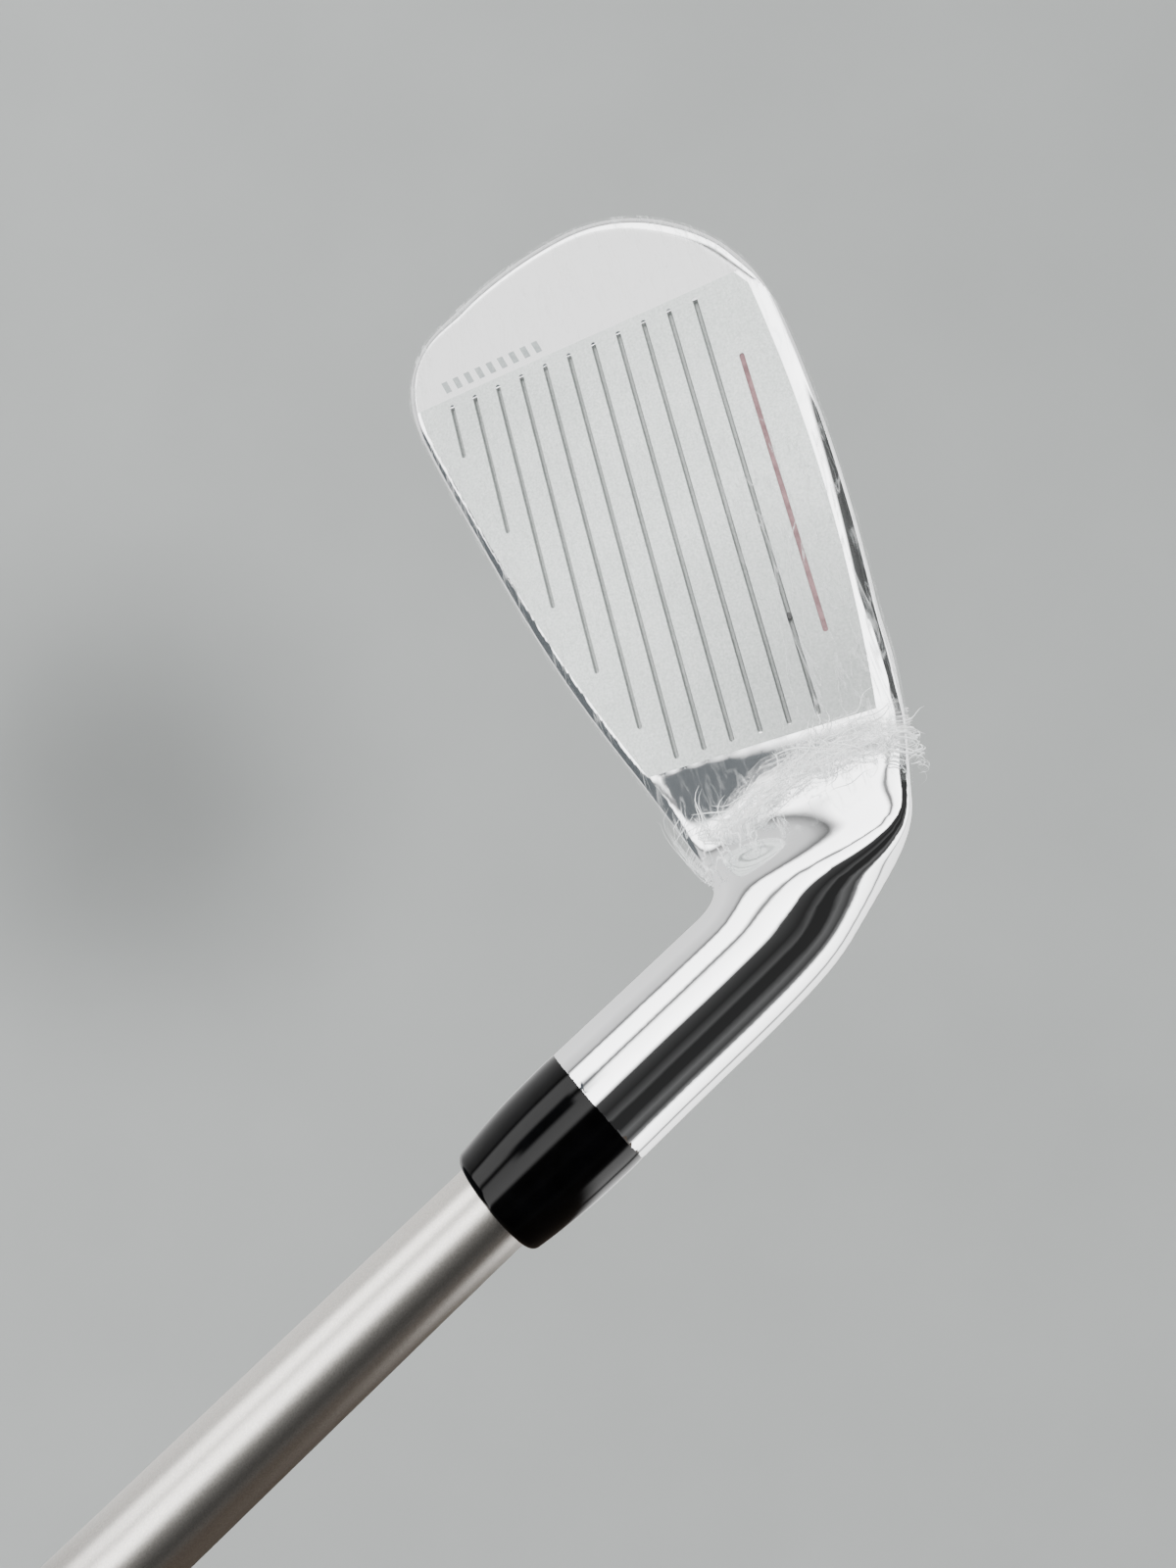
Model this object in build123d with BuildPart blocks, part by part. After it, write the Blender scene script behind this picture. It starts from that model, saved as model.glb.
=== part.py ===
from build123d import *
from math import asin, cos, degrees, radians, sin, sqrt, tan
import os

# Left-handed cavity-back iron, standing at address on the ground plane Z = 0.
# The origin is where the shaft's axis meets the ground, +Z is up, the hitting face
# looks toward -Y, the toe points to +X and the shaft leans up toward -X.
# Every size is in millimetres, every angle in degrees.

os.makedirs("parts", exist_ok=True)

# ---- club geometry -------------------------------------------------------------
lie_angle = 61.5            # shaft axis against the ground
loft_angle = 22.0           # hitting face against the vertical
club_length = 971.6         # ground to the end of the grip, along the shaft axis

# ---- blade ---------------------------------------------------------------------
blade_length = 82.4         # shaft axis at the ground to the toe's furthest point
toe_height = 48.6           # leading edge to the highest point, measured up the face
leading_edge_y = -3.25      # where the face plane meets the leading edge level
leading_edge_z = 4.0        # that level above the ground
topline_thickness = 6.5     # plate thickness behind the face plane
sole_width = 21.5           # leading edge to trailing edge
sole_radius = 26.0          # front-to-back rounding of the sole
sole_camber_radius = 210.0  # heel-to-toe rounding of the sole
sole_low_x = 38.0           # where the camber touches the ground
sole_low_y = 6.5            # where the sole's rounding touches the ground
muscle_height = 12.5        # top of the thick sole bar above the ground
plate_low = 6.0             # lower edge of the thin plate, inside the sole bar
muscle_slope_height = 23.5  # where the bar's slope runs out on the plate's back
face_edge_radius = 1.0      # rounding round the front outline
heel_station = 12.0         # x where the straight blade passes into the curved heel
heel_narrowing = 0.5        # sole width lost for each millimetre on toward the heel
heel_overlap = 1.5          # length of the heel's end inside the blade
hosel_inset = 0.03          # how far its other end lies under the hosel's surface
heel_inset = 0.12           # how far that end lies under the blade's surface
runout_radius = 22.0        # hollow sweep that carries the face forward to the hosel

# ---- cavity and what lies in it ------------------------------------------------
cavity_rim = 5.6            # width of the rim left around the cavity
cavity_floor_height = 15.5  # cavity's lower edge above the leading edge, up the face
cavity_heel_x = 18.0        # cavity's heel-side wall
damper_thickness = 1.2
badge_thickness = 0.8
cavity_clearance = 0.25     # gap between the cavity wall and the inlays

# ---- face plate and score lines ------------------------------------------------
plate_thickness = 2.6
plate_inset = 1.9           # body left visible around the plate
plate_low_edge = 2.6        # plate's lower edge above the leading edge, up the face
plate_toe_x = 0.7949 * blade_length   # toe-side edge of the plate
plate_heel_x = 8.6          # heel-side edge of the plate
score_line_count = 11
score_line_pitch = 3.4
score_line_width = 0.75
score_line_depth = 0.45
score_line_toe_x = plate_toe_x - 0.9  # common toe end of the full rows
score_line_heel_x = 9.7     # common heel end of the lower rows
score_line_top = 42.4       # highest row above the leading edge, up the face
score_line_margin = 3.6     # kept between a short row's heel end and the topline
paint_line_toe_x = plate_toe_x - 10.4
paint_line_heel_x = 18.7
paint_depth = 0.3           # paint lies this thick in the bottom of its line

# ---- hosel and heel ------------------------------------------------------------
hosel_wall = 2.05            # hosel wall outside the shaft, adhesive gap included
hosel_top = 52.9            # hosel's mouth above the ground, along the shaft axis
bore_depth = 31.0
bond_gap = 0.1              # adhesive between shaft and bore, per side
crotch_radius = 4.35        # inside corner between hosel and topline
crotch_station = 29.25      # where the corner's arc starts, along the shaft axis
mouth_chamfer = 0.3

# ---- ferrule -------------------------------------------------------------------
ferrule_length = 13.6
ferrule_top_wall = 1.0       # ferrule wall outside the shaft at its top
ferrule_edge_radius = 0.9
ferrule_clearance = 0.05    # ferrule bore over the shaft, per side

# ---- shaft ---------------------------------------------------------------------
shaft_tip_radius = 4.7      # 0.370 inch parallel tip
shaft_butt_radius = 7.62    # 0.600 inch butt
shaft_tip_length = 110.0    # parallel length at the tip
shaft_butt_length = 120.0   # parallel length at the butt
shaft_tip_wall = 1.5
shaft_butt_wall = 1.1
tip_gap = 0.5               # adhesive under the shaft's tip
tip_plug_length = 14.0      # swing-weight plug glued inside the tip
tip_plug_gap = 0.05

# ---- grip ----------------------------------------------------------------------
grip_length = 267.0
grip_mouth_wall = 1.6
grip_butt_radius = 13.2
tape_thickness = 0.15
tape_length = 250.0
cap_thickness = 5.0
cap_edge_radius = 1.2
vent_radius = 1.25

# ---- shrink film over the blade ------------------------------------------------
film_clearance = 0.25
film_thickness = 0.2
film_heel_x = 13.5          # open heel end of the film

# ---- reference planes and directions -------------------------------------------
hosel_radius = shaft_tip_radius + hosel_wall
ferrule_top_radius = shaft_tip_radius + ferrule_top_wall
shaft_lean = radians(lie_angle)
face_lean = radians(loft_angle)
shaft_direction = Vector(-cos(shaft_lean), 0, sin(shaft_lean))
shaft_side = Vector(sin(shaft_lean), 0, cos(shaft_lean))
shaft_axis = Axis((0, 0, 0), shaft_direction)
# local x is the distance from the shaft axis, local y runs up the shaft
axis_plane = Plane(origin=(0, 0, 0), x_dir=shaft_side, z_dir=(0, -1, 0))
# local x runs to the toe, local y up the face, local z out of the face
face_plane = Plane(
    origin=(0, leading_edge_y, leading_edge_z),
    x_dir=(1, 0, 0),
    z_dir=(0, -cos(face_lean), sin(face_lean)),
)


def shaft_plane(station):
    """Plane square to the shaft axis, at a distance above the ground along it."""
    return Plane(origin=shaft_direction * station, x_dir=shaft_side, z_dir=shaft_direction)


def face_y(height):
    """Where the face plane is, at a height above the ground."""
    return leading_edge_y + (height - leading_edge_z) * tan(face_lean)


def finish(piece, name):
    """Label a finished piece and write its file."""
    piece.part.label = name
    export_step(piece.part, f"parts/{name}.step")


# ---- blade outline, in the face plane ------------------------------------------
topline_heel = (0.0, 0.558 * toe_height)
topline_middle = (0.388 * blade_length, 0.813 * toe_height)
topline_toe = (0.704 * blade_length, 0.971 * toe_height)
toe_points = [
    (0.795 * blade_length, toe_height),
    (0.870 * blade_length, 0.971 * toe_height),
    (0.930 * blade_length, 0.885 * toe_height),
    (0.975 * blade_length, 0.730 * toe_height),
    (blade_length, 0.480 * toe_height),
    (0.982 * blade_length, 0.298 * toe_height),
    (0.934 * blade_length, 0.181 * toe_height),
    (0.871 * blade_length, 0.090 * toe_height),
]
sole_toe = (0.783 * blade_length, 0.008 * toe_height)
sole_below = (0.46 * blade_length, -0.08 * toe_height)
sole_heel = (0.0, -0.03 * toe_height)
outline_points = [topline_heel, topline_middle, topline_toe, *toe_points, sole_toe, sole_below, sole_heel]


def moved_inward(inset):
    """The outline's points, each moved inward square to the line between its neighbours."""
    count = len(outline_points)
    moved = []
    for place, (x, height) in enumerate(outline_points):
        before = Vector(*outline_points[max(place - 1, 0)])
        after = Vector(*outline_points[min(place + 1, count - 1)])
        along = (after - before).normalized()
        moved.append((x + inset * along.Y, height - inset * along.X))
    return moved


def blade_sketch(inset, low, heel_x, toe_x):
    """The outline moved inward, kept above a height and between two stations."""
    points = moved_inward(inset)
    tall = 2 * toe_height
    with BuildSketch(Plane.XY) as shape:
        with BuildLine():
            top = ThreePointArc(*points[:3])
            bottom = ThreePointArc(*points[-3:])
            Spline(*points[2:-2], tangents=[top % 1, bottom % 0])
            Line(points[-1], points[0])
        make_face()
        with Locations(((heel_x + toe_x) / 2, low + tall / 2)):
            Rectangle(toe_x - heel_x, tall, mode=Mode.INTERSECT)
    return shape.sketch


topline = ThreePointArc(topline_heel, topline_middle, topline_toe)


def topline_x(height):
    """Where the topline stands at a height up the face."""
    for step in range(1, 200):
        point = topline @ (step / 200)
        if point.Y >= height:
            return point.X
    return topline_toe[0]


# ---- sole bar: a profile swung about the camber axis ---------------------------
camber_half_angle = degrees(asin(0.56 * blade_length / sole_camber_radius))
camber_axis = Axis((sole_low_x, 0, sole_camber_radius), (0, -1, 0))


def camber_plane(angle):
    """Upright section plane swung about the camber axis, local x is +Y, local y is up."""
    turn = radians(angle)
    return Plane(
        origin=(sole_low_x + sole_camber_radius * sin(turn), 0, sole_camber_radius * (1 - cos(turn))),
        x_dir=(0, 1, 0),
        z_dir=(cos(turn), 0, sin(turn)),
    )


def sole_z(y):
    """Height of the sole's rounding at the low station."""
    return sole_radius - sqrt(sole_radius**2 - (y - sole_low_y) ** 2)


def camber_rise(x):
    """How far the camber lifts the sole at a station."""
    return sole_camber_radius - sqrt(sole_camber_radius**2 - (x - sole_low_x) ** 2)


front_y = leading_edge_y - 6.0
leading_y = leading_edge_y - 0.8
trailing_y = leading_y + sole_width
back_y = face_y(muscle_slope_height) + topline_thickness / cos(face_lean) - 0.3


def sole_profile(grow):
    """Section of the sole bar, grown outward for the film."""
    with BuildSketch(camber_plane(-camber_half_angle)) as section:
        with BuildLine():
            sole_front = (front_y, sole_z(front_y) - grow)
            sole_back = (trailing_y, sole_z(trailing_y) - grow)
            heel_of_bar = (trailing_y + 0.9 + grow, sole_z(trailing_y) + 1.9)
            bar_top = (trailing_y - 1.2 + grow, muscle_height)
            slope_top = (back_y + grow, muscle_slope_height)
            ThreePointArc(sole_front, (sole_low_y, -grow), sole_back)
            Line(sole_back, heel_of_bar)
            Line(heel_of_bar, bar_top)
            Line(bar_top, slope_top)
            Line(slope_top, (back_y - 4, muscle_slope_height + 3))
            Line((back_y - 4, muscle_slope_height + 3), (front_y, muscle_slope_height + 3))
            Line((front_y, muscle_slope_height + 3), sole_front)
        make_face()
    return section.sketch


heel_cut = Plane(origin=(heel_station, 0, 0), x_dir=(0, 1, 0), z_dir=(1, 0, 0))

with BuildPart() as sole_bar:
    add(sole_profile(0))
    revolve(axis=camber_axis, revolution_arc=2 * camber_half_angle)
    split(bisect_by=face_plane, keep=Keep.BOTTOM)
    with BuildSketch(face_plane):
        add(blade_sketch(0, -toe_height, 0.0, 2 * blade_length))
    extrude(amount=-3 * sole_width, mode=Mode.INTERSECT)


def upper_outline(edge):
    """True for the plate's topline and toe edges, front and back."""
    middle = face_plane.to_local_coords(edge @ 0.5)
    along = edge.length > 2 * topline_thickness
    return along and middle.Y > plate_low + 1 and middle.X > 1


with BuildPart() as blade:
    with BuildSketch(face_plane):
        add(blade_sketch(0, plate_low, -1.0, blade_length + 5))
    extrude(amount=-topline_thickness)
    fillet(blade.edges().filter_by(upper_outline), radius=face_edge_radius)
    add(sole_bar.part)
    split(bisect_by=heel_cut, keep=Keep.TOP)

# ---- heel: sections fanned about the inside corner of hosel and topline ---------
corner = shaft_direction * crotch_station + shaft_side * (hosel_radius + crotch_radius)
fan_start = 270.0 - lie_angle


def fan_plane(angle):
    """Plane through the corner's centre: local x is +Y, local y runs out to the heel."""
    turn = radians(angle)
    out = Vector(cos(turn), 0, sin(turn))
    return Plane(origin=corner, x_dir=(0, 1, 0), z_dir=Vector(0, 1, 0).cross(out))


def upright_plane(x):
    """Section plane across the blade: local x is +Y, local y runs down."""
    return Plane(origin=(x, 0, corner.Z), x_dir=(0, 1, 0), z_dir=(-1, 0, 0))


def round_points(radius):
    """Eight points of the hosel's circle, from its front heel corner round by the front."""
    middle = crotch_radius + radius
    half = radius * sqrt(0.5)
    return [
        (-half, middle + half), (-radius, middle), (-half, middle - half), (0, crotch_radius),
        (half, middle - half), (radius, middle), (half, middle + half), (0, middle + radius),
    ]


def hosel_points(shape):
    """Section points given in hosel radii across and hosel diameters out from the corner."""
    return [(across * hosel_radius, crotch_radius + out * 2 * hosel_radius) for across, out in shape]


def blade_points(x):
    """Eight points of the blade's section at a station, from the leading edge round by the face."""
    reach = max(0.0, plate_heel_x - x)
    forward = runout_radius - sqrt(runout_radius**2 - reach**2)
    rise = camber_rise(x)
    share = (x - topline_heel[0]) / (topline_toe[0] - topline_heel[0])
    top = leading_edge_z + (topline @ share).Y * cos(face_lean) - 0.6
    middle = 0.5 * (top + leading_edge_z)
    back = topline_thickness * cos(face_lean)
    heights_and_depths = [
        (leading_y + 1.0 - 0.2 * forward, sole_z(leading_y) + rise + 0.3),
        (face_y(middle) - forward + heel_inset, middle),
        (face_y(top) - forward + heel_inset, top),
        (face_y(top) - 0.8 * forward + 0.5 * back, top - 0.3),
        (face_y(top) - 0.8 * forward + back - heel_inset, top - 2.8),
        (face_y(middle) + 1.5 * back - forward, middle),
        (trailing_y - 0.1 - heel_narrowing * (heel_station - x), sole_z(trailing_y) + rise + 1.9),
        (sole_low_y - 0.3 * forward, rise + heel_inset),
    ]
    return [(depth, corner.Z - height) for depth, height in heights_and_depths]


def closed_section(plane, points):
    """Closed sketch of four curves, each through three of the eight points."""
    with BuildSketch(plane) as closed:
        with BuildLine():
            for side in range(4):
                Spline(points[2 * side], points[2 * side + 1], points[(2 * side + 2) % 8])
        make_face()
    return closed.sketch


middle_heel_shape = [
    (-0.73, 1.04), (-0.87, 0.55), (-0.24, 0.05), (0.39, 0.0),
    (1.07, 0.09), (1.27, 0.60), (0.93, 1.06), (0.04, 1.25),
]
lower_heel_shape = [
    (-0.73, 1.36), (-0.50, 0.72), (0.27, 0.04), (0.83, 0.0),
    (1.42, 0.09), (1.57, 0.75), (1.30, 1.36), (0.22, 1.53),
]
with BuildPart() as heel:
    add(closed_section(fan_plane(fan_start).offset(heel_overlap), round_points(hosel_radius - hosel_inset)))
    add(closed_section(fan_plane(250.0), hosel_points(middle_heel_shape)))
    add(closed_section(fan_plane(270.0), hosel_points(lower_heel_shape)))
    add(closed_section(upright_plane(3.0), blade_points(3.0)))
    add(closed_section(upright_plane(heel_station + heel_overlap), blade_points(heel_station + heel_overlap)))
    loft()

# ---- head body -----------------------------------------------------------------
with BuildPart() as head_body:
    add(heel.part)
    add(blade.part)
    with BuildSketch(shaft_plane(crotch_station)):
        Circle(hosel_radius)
    extrude(amount=hosel_top - crotch_station)
    mouth = head_body.edges().filter_by(GeomType.CIRCLE).sort_by(shaft_axis)[-1]
    chamfer(mouth, length=mouth_chamfer)
    with BuildSketch(shaft_plane(hosel_top)):
        Circle(shaft_tip_radius + bond_gap)
    extrude(amount=-bore_depth, mode=Mode.SUBTRACT)
    with BuildSketch(face_plane):
        add(blade_sketch(plate_inset, plate_low_edge, plate_heel_x, plate_toe_x))
    extrude(amount=-plate_thickness, mode=Mode.SUBTRACT)
    with BuildSketch(face_plane.offset(-plate_thickness)):
        add(blade_sketch(cavity_rim, cavity_floor_height, cavity_heel_x, blade_length))
    extrude(amount=-2 * topline_thickness, mode=Mode.SUBTRACT)
finish(head_body, "head_body")

# ---- face plate with its score lines --------------------------------------------


def score_line(row):
    """Toe end, heel end and height of a row, counted down from the topline."""
    height = score_line_top - row * score_line_pitch
    heel_x = max(score_line_heel_x, topline_x(height + score_line_margin))
    return score_line_toe_x, heel_x, height


def cut_line(toe_x, heel_x, height):
    """Slot for one score line, drawn on the face, with round ends."""
    with Locations(((toe_x + heel_x) / 2, height)):
        SlotOverall(toe_x - heel_x, score_line_width)


paint_height = score_line_top - score_line_count * score_line_pitch

with BuildPart() as face_plate:
    with BuildSketch(face_plane):
        add(blade_sketch(plate_inset, plate_low_edge, plate_heel_x, plate_toe_x))
    extrude(amount=-plate_thickness)
    with BuildSketch(face_plane):
        for row in range(score_line_count):
            cut_line(*score_line(row))
        cut_line(paint_line_toe_x, paint_line_heel_x, paint_height)
    extrude(amount=-score_line_depth, mode=Mode.SUBTRACT)
finish(face_plate, "face_plate")

with BuildPart() as score_line_paint:
    with BuildSketch(face_plane.offset(-score_line_depth)):
        cut_line(paint_line_toe_x, paint_line_heel_x, paint_height)
    extrude(amount=paint_depth)
finish(score_line_paint, "score_line_paint")

# ---- cavity inlays --------------------------------------------------------------
inlay_sketch = blade_sketch(
    cavity_rim + cavity_clearance,
    cavity_floor_height + cavity_clearance,
    cavity_heel_x + cavity_clearance,
    blade_length,
)

with BuildPart() as cavity_damper:
    with BuildSketch(face_plane.offset(-plate_thickness)):
        add(inlay_sketch)
    extrude(amount=-damper_thickness)
finish(cavity_damper, "cavity_damper")

with BuildPart() as cavity_badge:
    with BuildSketch(face_plane.offset(-plate_thickness - damper_thickness)):
        add(inlay_sketch)
    extrude(amount=-badge_thickness)
finish(cavity_badge, "cavity_badge")

# ---- shaft ----------------------------------------------------------------------
shaft_tip = hosel_top - bore_depth + tip_gap
shaft_butt = club_length - cap_thickness
taper_start = shaft_tip + shaft_tip_length
taper_end = shaft_butt - shaft_butt_length


def shaft_radius(station):
    """Outer radius of the shaft at a distance above the ground along the axis."""
    share = (station - taper_start) / (taper_end - taper_start)
    share = min(1.0, max(0.0, share))
    return shaft_tip_radius + share * (shaft_butt_radius - shaft_tip_radius)


def profile_sketch(corners):
    """Half section through the shaft axis, from (radius, station) corners."""
    with BuildSketch(axis_plane) as half:
        with BuildLine():
            Polyline(*corners, close=True)
        make_face()
    return half.sketch


with BuildPart() as shaft:
    add(profile_sketch([
        (shaft_tip_radius - shaft_tip_wall, shaft_tip),
        (shaft_tip_radius, shaft_tip),
        (shaft_tip_radius, taper_start),
        (shaft_butt_radius, taper_end),
        (shaft_butt_radius, shaft_butt),
        (shaft_butt_radius - shaft_butt_wall, shaft_butt),
        (shaft_butt_radius - shaft_butt_wall, taper_end),
        (shaft_tip_radius - shaft_tip_wall, taper_start),
    ]))
    revolve(axis=shaft_axis)
finish(shaft, "shaft")

with BuildPart() as shaft_bond:
    add(profile_sketch([
        (0, hosel_top - bore_depth),
        (shaft_tip_radius + bond_gap, hosel_top - bore_depth),
        (shaft_tip_radius + bond_gap, hosel_top),
        (shaft_tip_radius, hosel_top),
        (shaft_tip_radius, shaft_tip),
        (0, shaft_tip),
    ]))
    revolve(axis=shaft_axis)
finish(shaft_bond, "shaft_bond")

with BuildPart() as tip_plug:
    with BuildSketch(shaft_plane(shaft_tip)):
        Circle(shaft_tip_radius - shaft_tip_wall - tip_plug_gap)
    extrude(amount=tip_plug_length)
finish(tip_plug, "tip_plug")

# ---- ferrule --------------------------------------------------------------------
ferrule_top = hosel_top + ferrule_length
with BuildPart() as ferrule:
    with BuildSketch(axis_plane):
        with BuildLine():
            inner = shaft_tip_radius + ferrule_clearance
            shoulder = (ferrule_top_radius, ferrule_top - ferrule_edge_radius)
            lip = (ferrule_top_radius - ferrule_edge_radius, ferrule_top)
            swell = (0.5 * (hosel_radius + ferrule_top_radius) + 0.15, hosel_top + 0.45 * ferrule_length)
            Line((inner, hosel_top), (hosel_radius, hosel_top))
            side = ThreePointArc((hosel_radius, hosel_top), swell, shoulder)
            TangentArc(shoulder, lip, tangent=side % 1)
            Line(lip, (inner, ferrule_top))
            Line((inner, ferrule_top), (inner, hosel_top))
        make_face()
    revolve(axis=shaft_axis)
finish(ferrule, "ferrule")

# ---- grip -----------------------------------------------------------------------
grip_mouth = club_length - grip_length
tape_mouth = shaft_butt - tape_length


def shaft_corners(first, last, gap):
    """Points along the shaft's outside, a gap off it, between two stations."""
    stations = [first] + [s for s in (taper_start, taper_end) if first < s < last] + [last]
    return [(shaft_radius(s) + gap, s) for s in stations]


with BuildPart() as grip_tape:
    inside = shaft_corners(tape_mouth, shaft_butt, 0)
    outside = shaft_corners(tape_mouth, shaft_butt, tape_thickness)
    add(profile_sketch(inside + outside[::-1]))
    revolve(axis=shaft_axis)
finish(grip_tape, "grip_tape")

with BuildPart() as grip:
    inside = shaft_corners(grip_mouth, shaft_butt, tape_thickness)
    outside = [
        (shaft_radius(grip_mouth) + grip_mouth_wall, grip_mouth),
        (grip_butt_radius - 0.6, shaft_butt - 12.0),
        (grip_butt_radius, shaft_butt),
    ]
    add(profile_sketch(inside + outside[::-1]))
    revolve(axis=shaft_axis)
finish(grip, "grip")

with BuildPart() as grip_cap:
    add(profile_sketch([
        (vent_radius, shaft_butt),
        (grip_butt_radius, shaft_butt),
        (grip_butt_radius, club_length - cap_edge_radius),
        (grip_butt_radius - cap_edge_radius, club_length),
        (vent_radius, club_length),
    ]))
    revolve(axis=shaft_axis)
finish(grip_cap, "grip_cap")

# ---- shrink film ----------------------------------------------------------------


def film_block(grow):
    """Blade-shaped block, grown outward, that the film's outside or inside follows."""
    with BuildPart() as block:
        add(sole_profile(grow))
        revolve(axis=camber_axis, revolution_arc=2 * camber_half_angle)
        with BuildSketch(face_plane.offset(grow)):
            add(blade_sketch(-grow, plate_low, 0.0, 2 * blade_length))
        extrude(amount=-topline_thickness - 2 * grow)
        with BuildSketch(face_plane.offset(grow)):
            add(blade_sketch(-grow, -toe_height, 0.0, 2 * blade_length))
        extrude(amount=-3 * sole_width, mode=Mode.INTERSECT)
        split(bisect_by=Plane(origin=(film_heel_x, 0, 0), x_dir=(0, 1, 0), z_dir=(1, 0, 0)), keep=Keep.TOP)
    return block.part


with BuildPart() as head_film:
    add(film_block(film_clearance + film_thickness))
    add(film_block(film_clearance), mode=Mode.SUBTRACT)
finish(head_film, "head_film")
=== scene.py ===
import math
import random

import bpy
import numpy as np
from bpy.props import FloatProperty, FloatVectorProperty, IntProperty, PointerProperty
from mathutils import Matrix, Vector, noise


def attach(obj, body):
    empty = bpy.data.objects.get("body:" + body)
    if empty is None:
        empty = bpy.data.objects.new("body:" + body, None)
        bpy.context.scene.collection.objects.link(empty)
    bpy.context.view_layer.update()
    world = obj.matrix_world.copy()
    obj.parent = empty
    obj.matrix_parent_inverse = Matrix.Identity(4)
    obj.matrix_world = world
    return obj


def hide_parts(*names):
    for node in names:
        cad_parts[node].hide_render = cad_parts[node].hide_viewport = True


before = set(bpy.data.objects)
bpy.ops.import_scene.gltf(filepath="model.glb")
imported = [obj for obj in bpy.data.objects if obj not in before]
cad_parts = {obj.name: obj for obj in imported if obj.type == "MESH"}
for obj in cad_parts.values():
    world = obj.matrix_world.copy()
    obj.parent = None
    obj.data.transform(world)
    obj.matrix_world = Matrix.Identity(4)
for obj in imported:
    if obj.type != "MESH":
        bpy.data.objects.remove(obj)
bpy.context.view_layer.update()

bl_info = {
    "name": "Iron golf club",
    "version": (1, 0, 0),
    "blender": (4, 5, 0),
    "location": "View3D > Sidebar > Golf Club",
    "description": "Finishes, shrink film and studio for a left-handed iron",
    "category": "Object",
}

MM = 0.001

# The shaft's lean and the face's lean, and the sizes of the head in millimetres.
LIE = math.radians(61.5)
LOFT = math.radians(22.0)
SHAFT_UP = np.array([-math.cos(LIE), 0.0, math.sin(LIE)])
SHAFT_SIDE = np.array([math.sin(LIE), 0.0, math.cos(LIE)])
FACE_UP = np.array([0.0, math.sin(LOFT), math.cos(LOFT)])
FACE_OUT = np.array([0.0, -math.cos(LOFT), math.sin(LOFT)])
LEADING_EDGE = np.array([0.0, -3.25, 4.0])
FACE_LEVEL = float(LEADING_EDGE @ FACE_OUT) * MM
HOSEL_RADIUS = 6.75
HOSEL_TOP = 52.9
BORE_RADIUS = 4.8
BORE_BOTTOM = 21.9
CLUB_LENGTH = 971.6

# The milled face ends at the parting line; beyond it the toe is satin chrome.
PARTING_X = 65.5

# The blade's front outline as (toward the toe, up the face), from the heel over the toe
# to the sole; the far corners only close it below the sole.
BLADE_OUTLINE = [
    (-16, 19.3), (-4.8, 24.6), (7.4, 30.2), (22.0, 36.3), (32, 39.7), (44, 43.2), (53, 45.7),
    (60, 47.5), (65.5, 48.5), (70.5, 48.0), (74.8, 45.2), (78.2, 40.4), (80.8, 33.6),
    (82.3, 25.5), (82.2, 18.5), (80.0, 12.2), (76.4, 7.2), (71.5, 3.2), (65, 0.2), (56, -2.5),
    (40, -5), (20, -6), (0, -6)]
OUTLINE_CLOSING = (-16, -6)

# The heel's outline under the neck, as (x, z), from the sole up to the hosel.
HEEL_OUTLINE = [
    (40, -7), (24, -3.2), (12, 0.6), (5, 2.7), (-0.1, 4.5), (-3.3, 5.7), (-6.3, 7.3), (-10.1, 10.2),
    (-13.6, 13.6), (-16.5, 17.3), (-19.9, 22.6), (-25.4, 32.8), (-32, 46)]

# The neck's centre line from the hosel into the heel: x, y, z and the radius there.
NECK_PATH = [
    (-25.0, 0.0, 46.0, 6.75), (-19.9, 0.0, 36.6, 6.75), (-13.84, 0.0, 25.5, 6.75),
    (-10.95, 0.2, 20.8, 6.55), (-5.9, 0.9, 15.5, 5.95), (-0.9, 1.9, 12.3, 5.1),
    (5.0, 3.2, 10.3, 4.5), (12.0, 4.5, 9.0, 4.0)]


# ---- small tools -----------------------------------------------------------------


def linear(colour):
    """Linear colour with alpha, from an sRGB hex text such as "#C8CACB"."""
    parts = [int(colour[i:i + 2], 16) / 255.0 for i in (1, 3, 5)]
    return tuple(c / 12.92 if c <= 0.04045 else ((c + 0.055) / 1.055) ** 2.4 for c in parts) + (1.0,)


def add_node(tree, kind, settings=None, inputs=None):
    """Add a node, set its properties, and set or link the sockets named in inputs."""
    node = tree.nodes.new(kind)
    for name, value in (settings or {}).items():
        setattr(node, name, value)
    for name, value in (inputs or {}).items():
        if isinstance(value, bpy.types.NodeSocket):
            tree.links.new(value, node.inputs[name])
        else:
            node.inputs[name].default_value = value
    return node


def new_material(name, shader_inputs):
    """A node material with one Principled shader; returns the material, its tree and the shader."""
    material = bpy.data.materials.new(name)
    material.use_nodes = True
    tree = material.node_tree
    tree.nodes.clear()
    shader = add_node(tree, "ShaderNodeBsdfPrincipled", inputs=shader_inputs)
    add_node(tree, "ShaderNodeOutputMaterial", inputs={"Surface": shader.outputs[0]})
    return material, tree, shader


def object_coordinates(tree):
    """Object coordinates, in metres of the club's own frame."""
    return add_node(tree, "ShaderNodeTexCoord").outputs["Object"]


def scale_for(size_mm):
    """Noise scale whose features are about this many millimetres across."""
    return 1.0 / (size_mm * MM)


def select_only(piece):
    """Make one object the selected and active one."""
    bpy.ops.object.select_all(action="DESELECT")
    piece.select_set(True)
    bpy.context.view_layer.objects.active = piece


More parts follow.
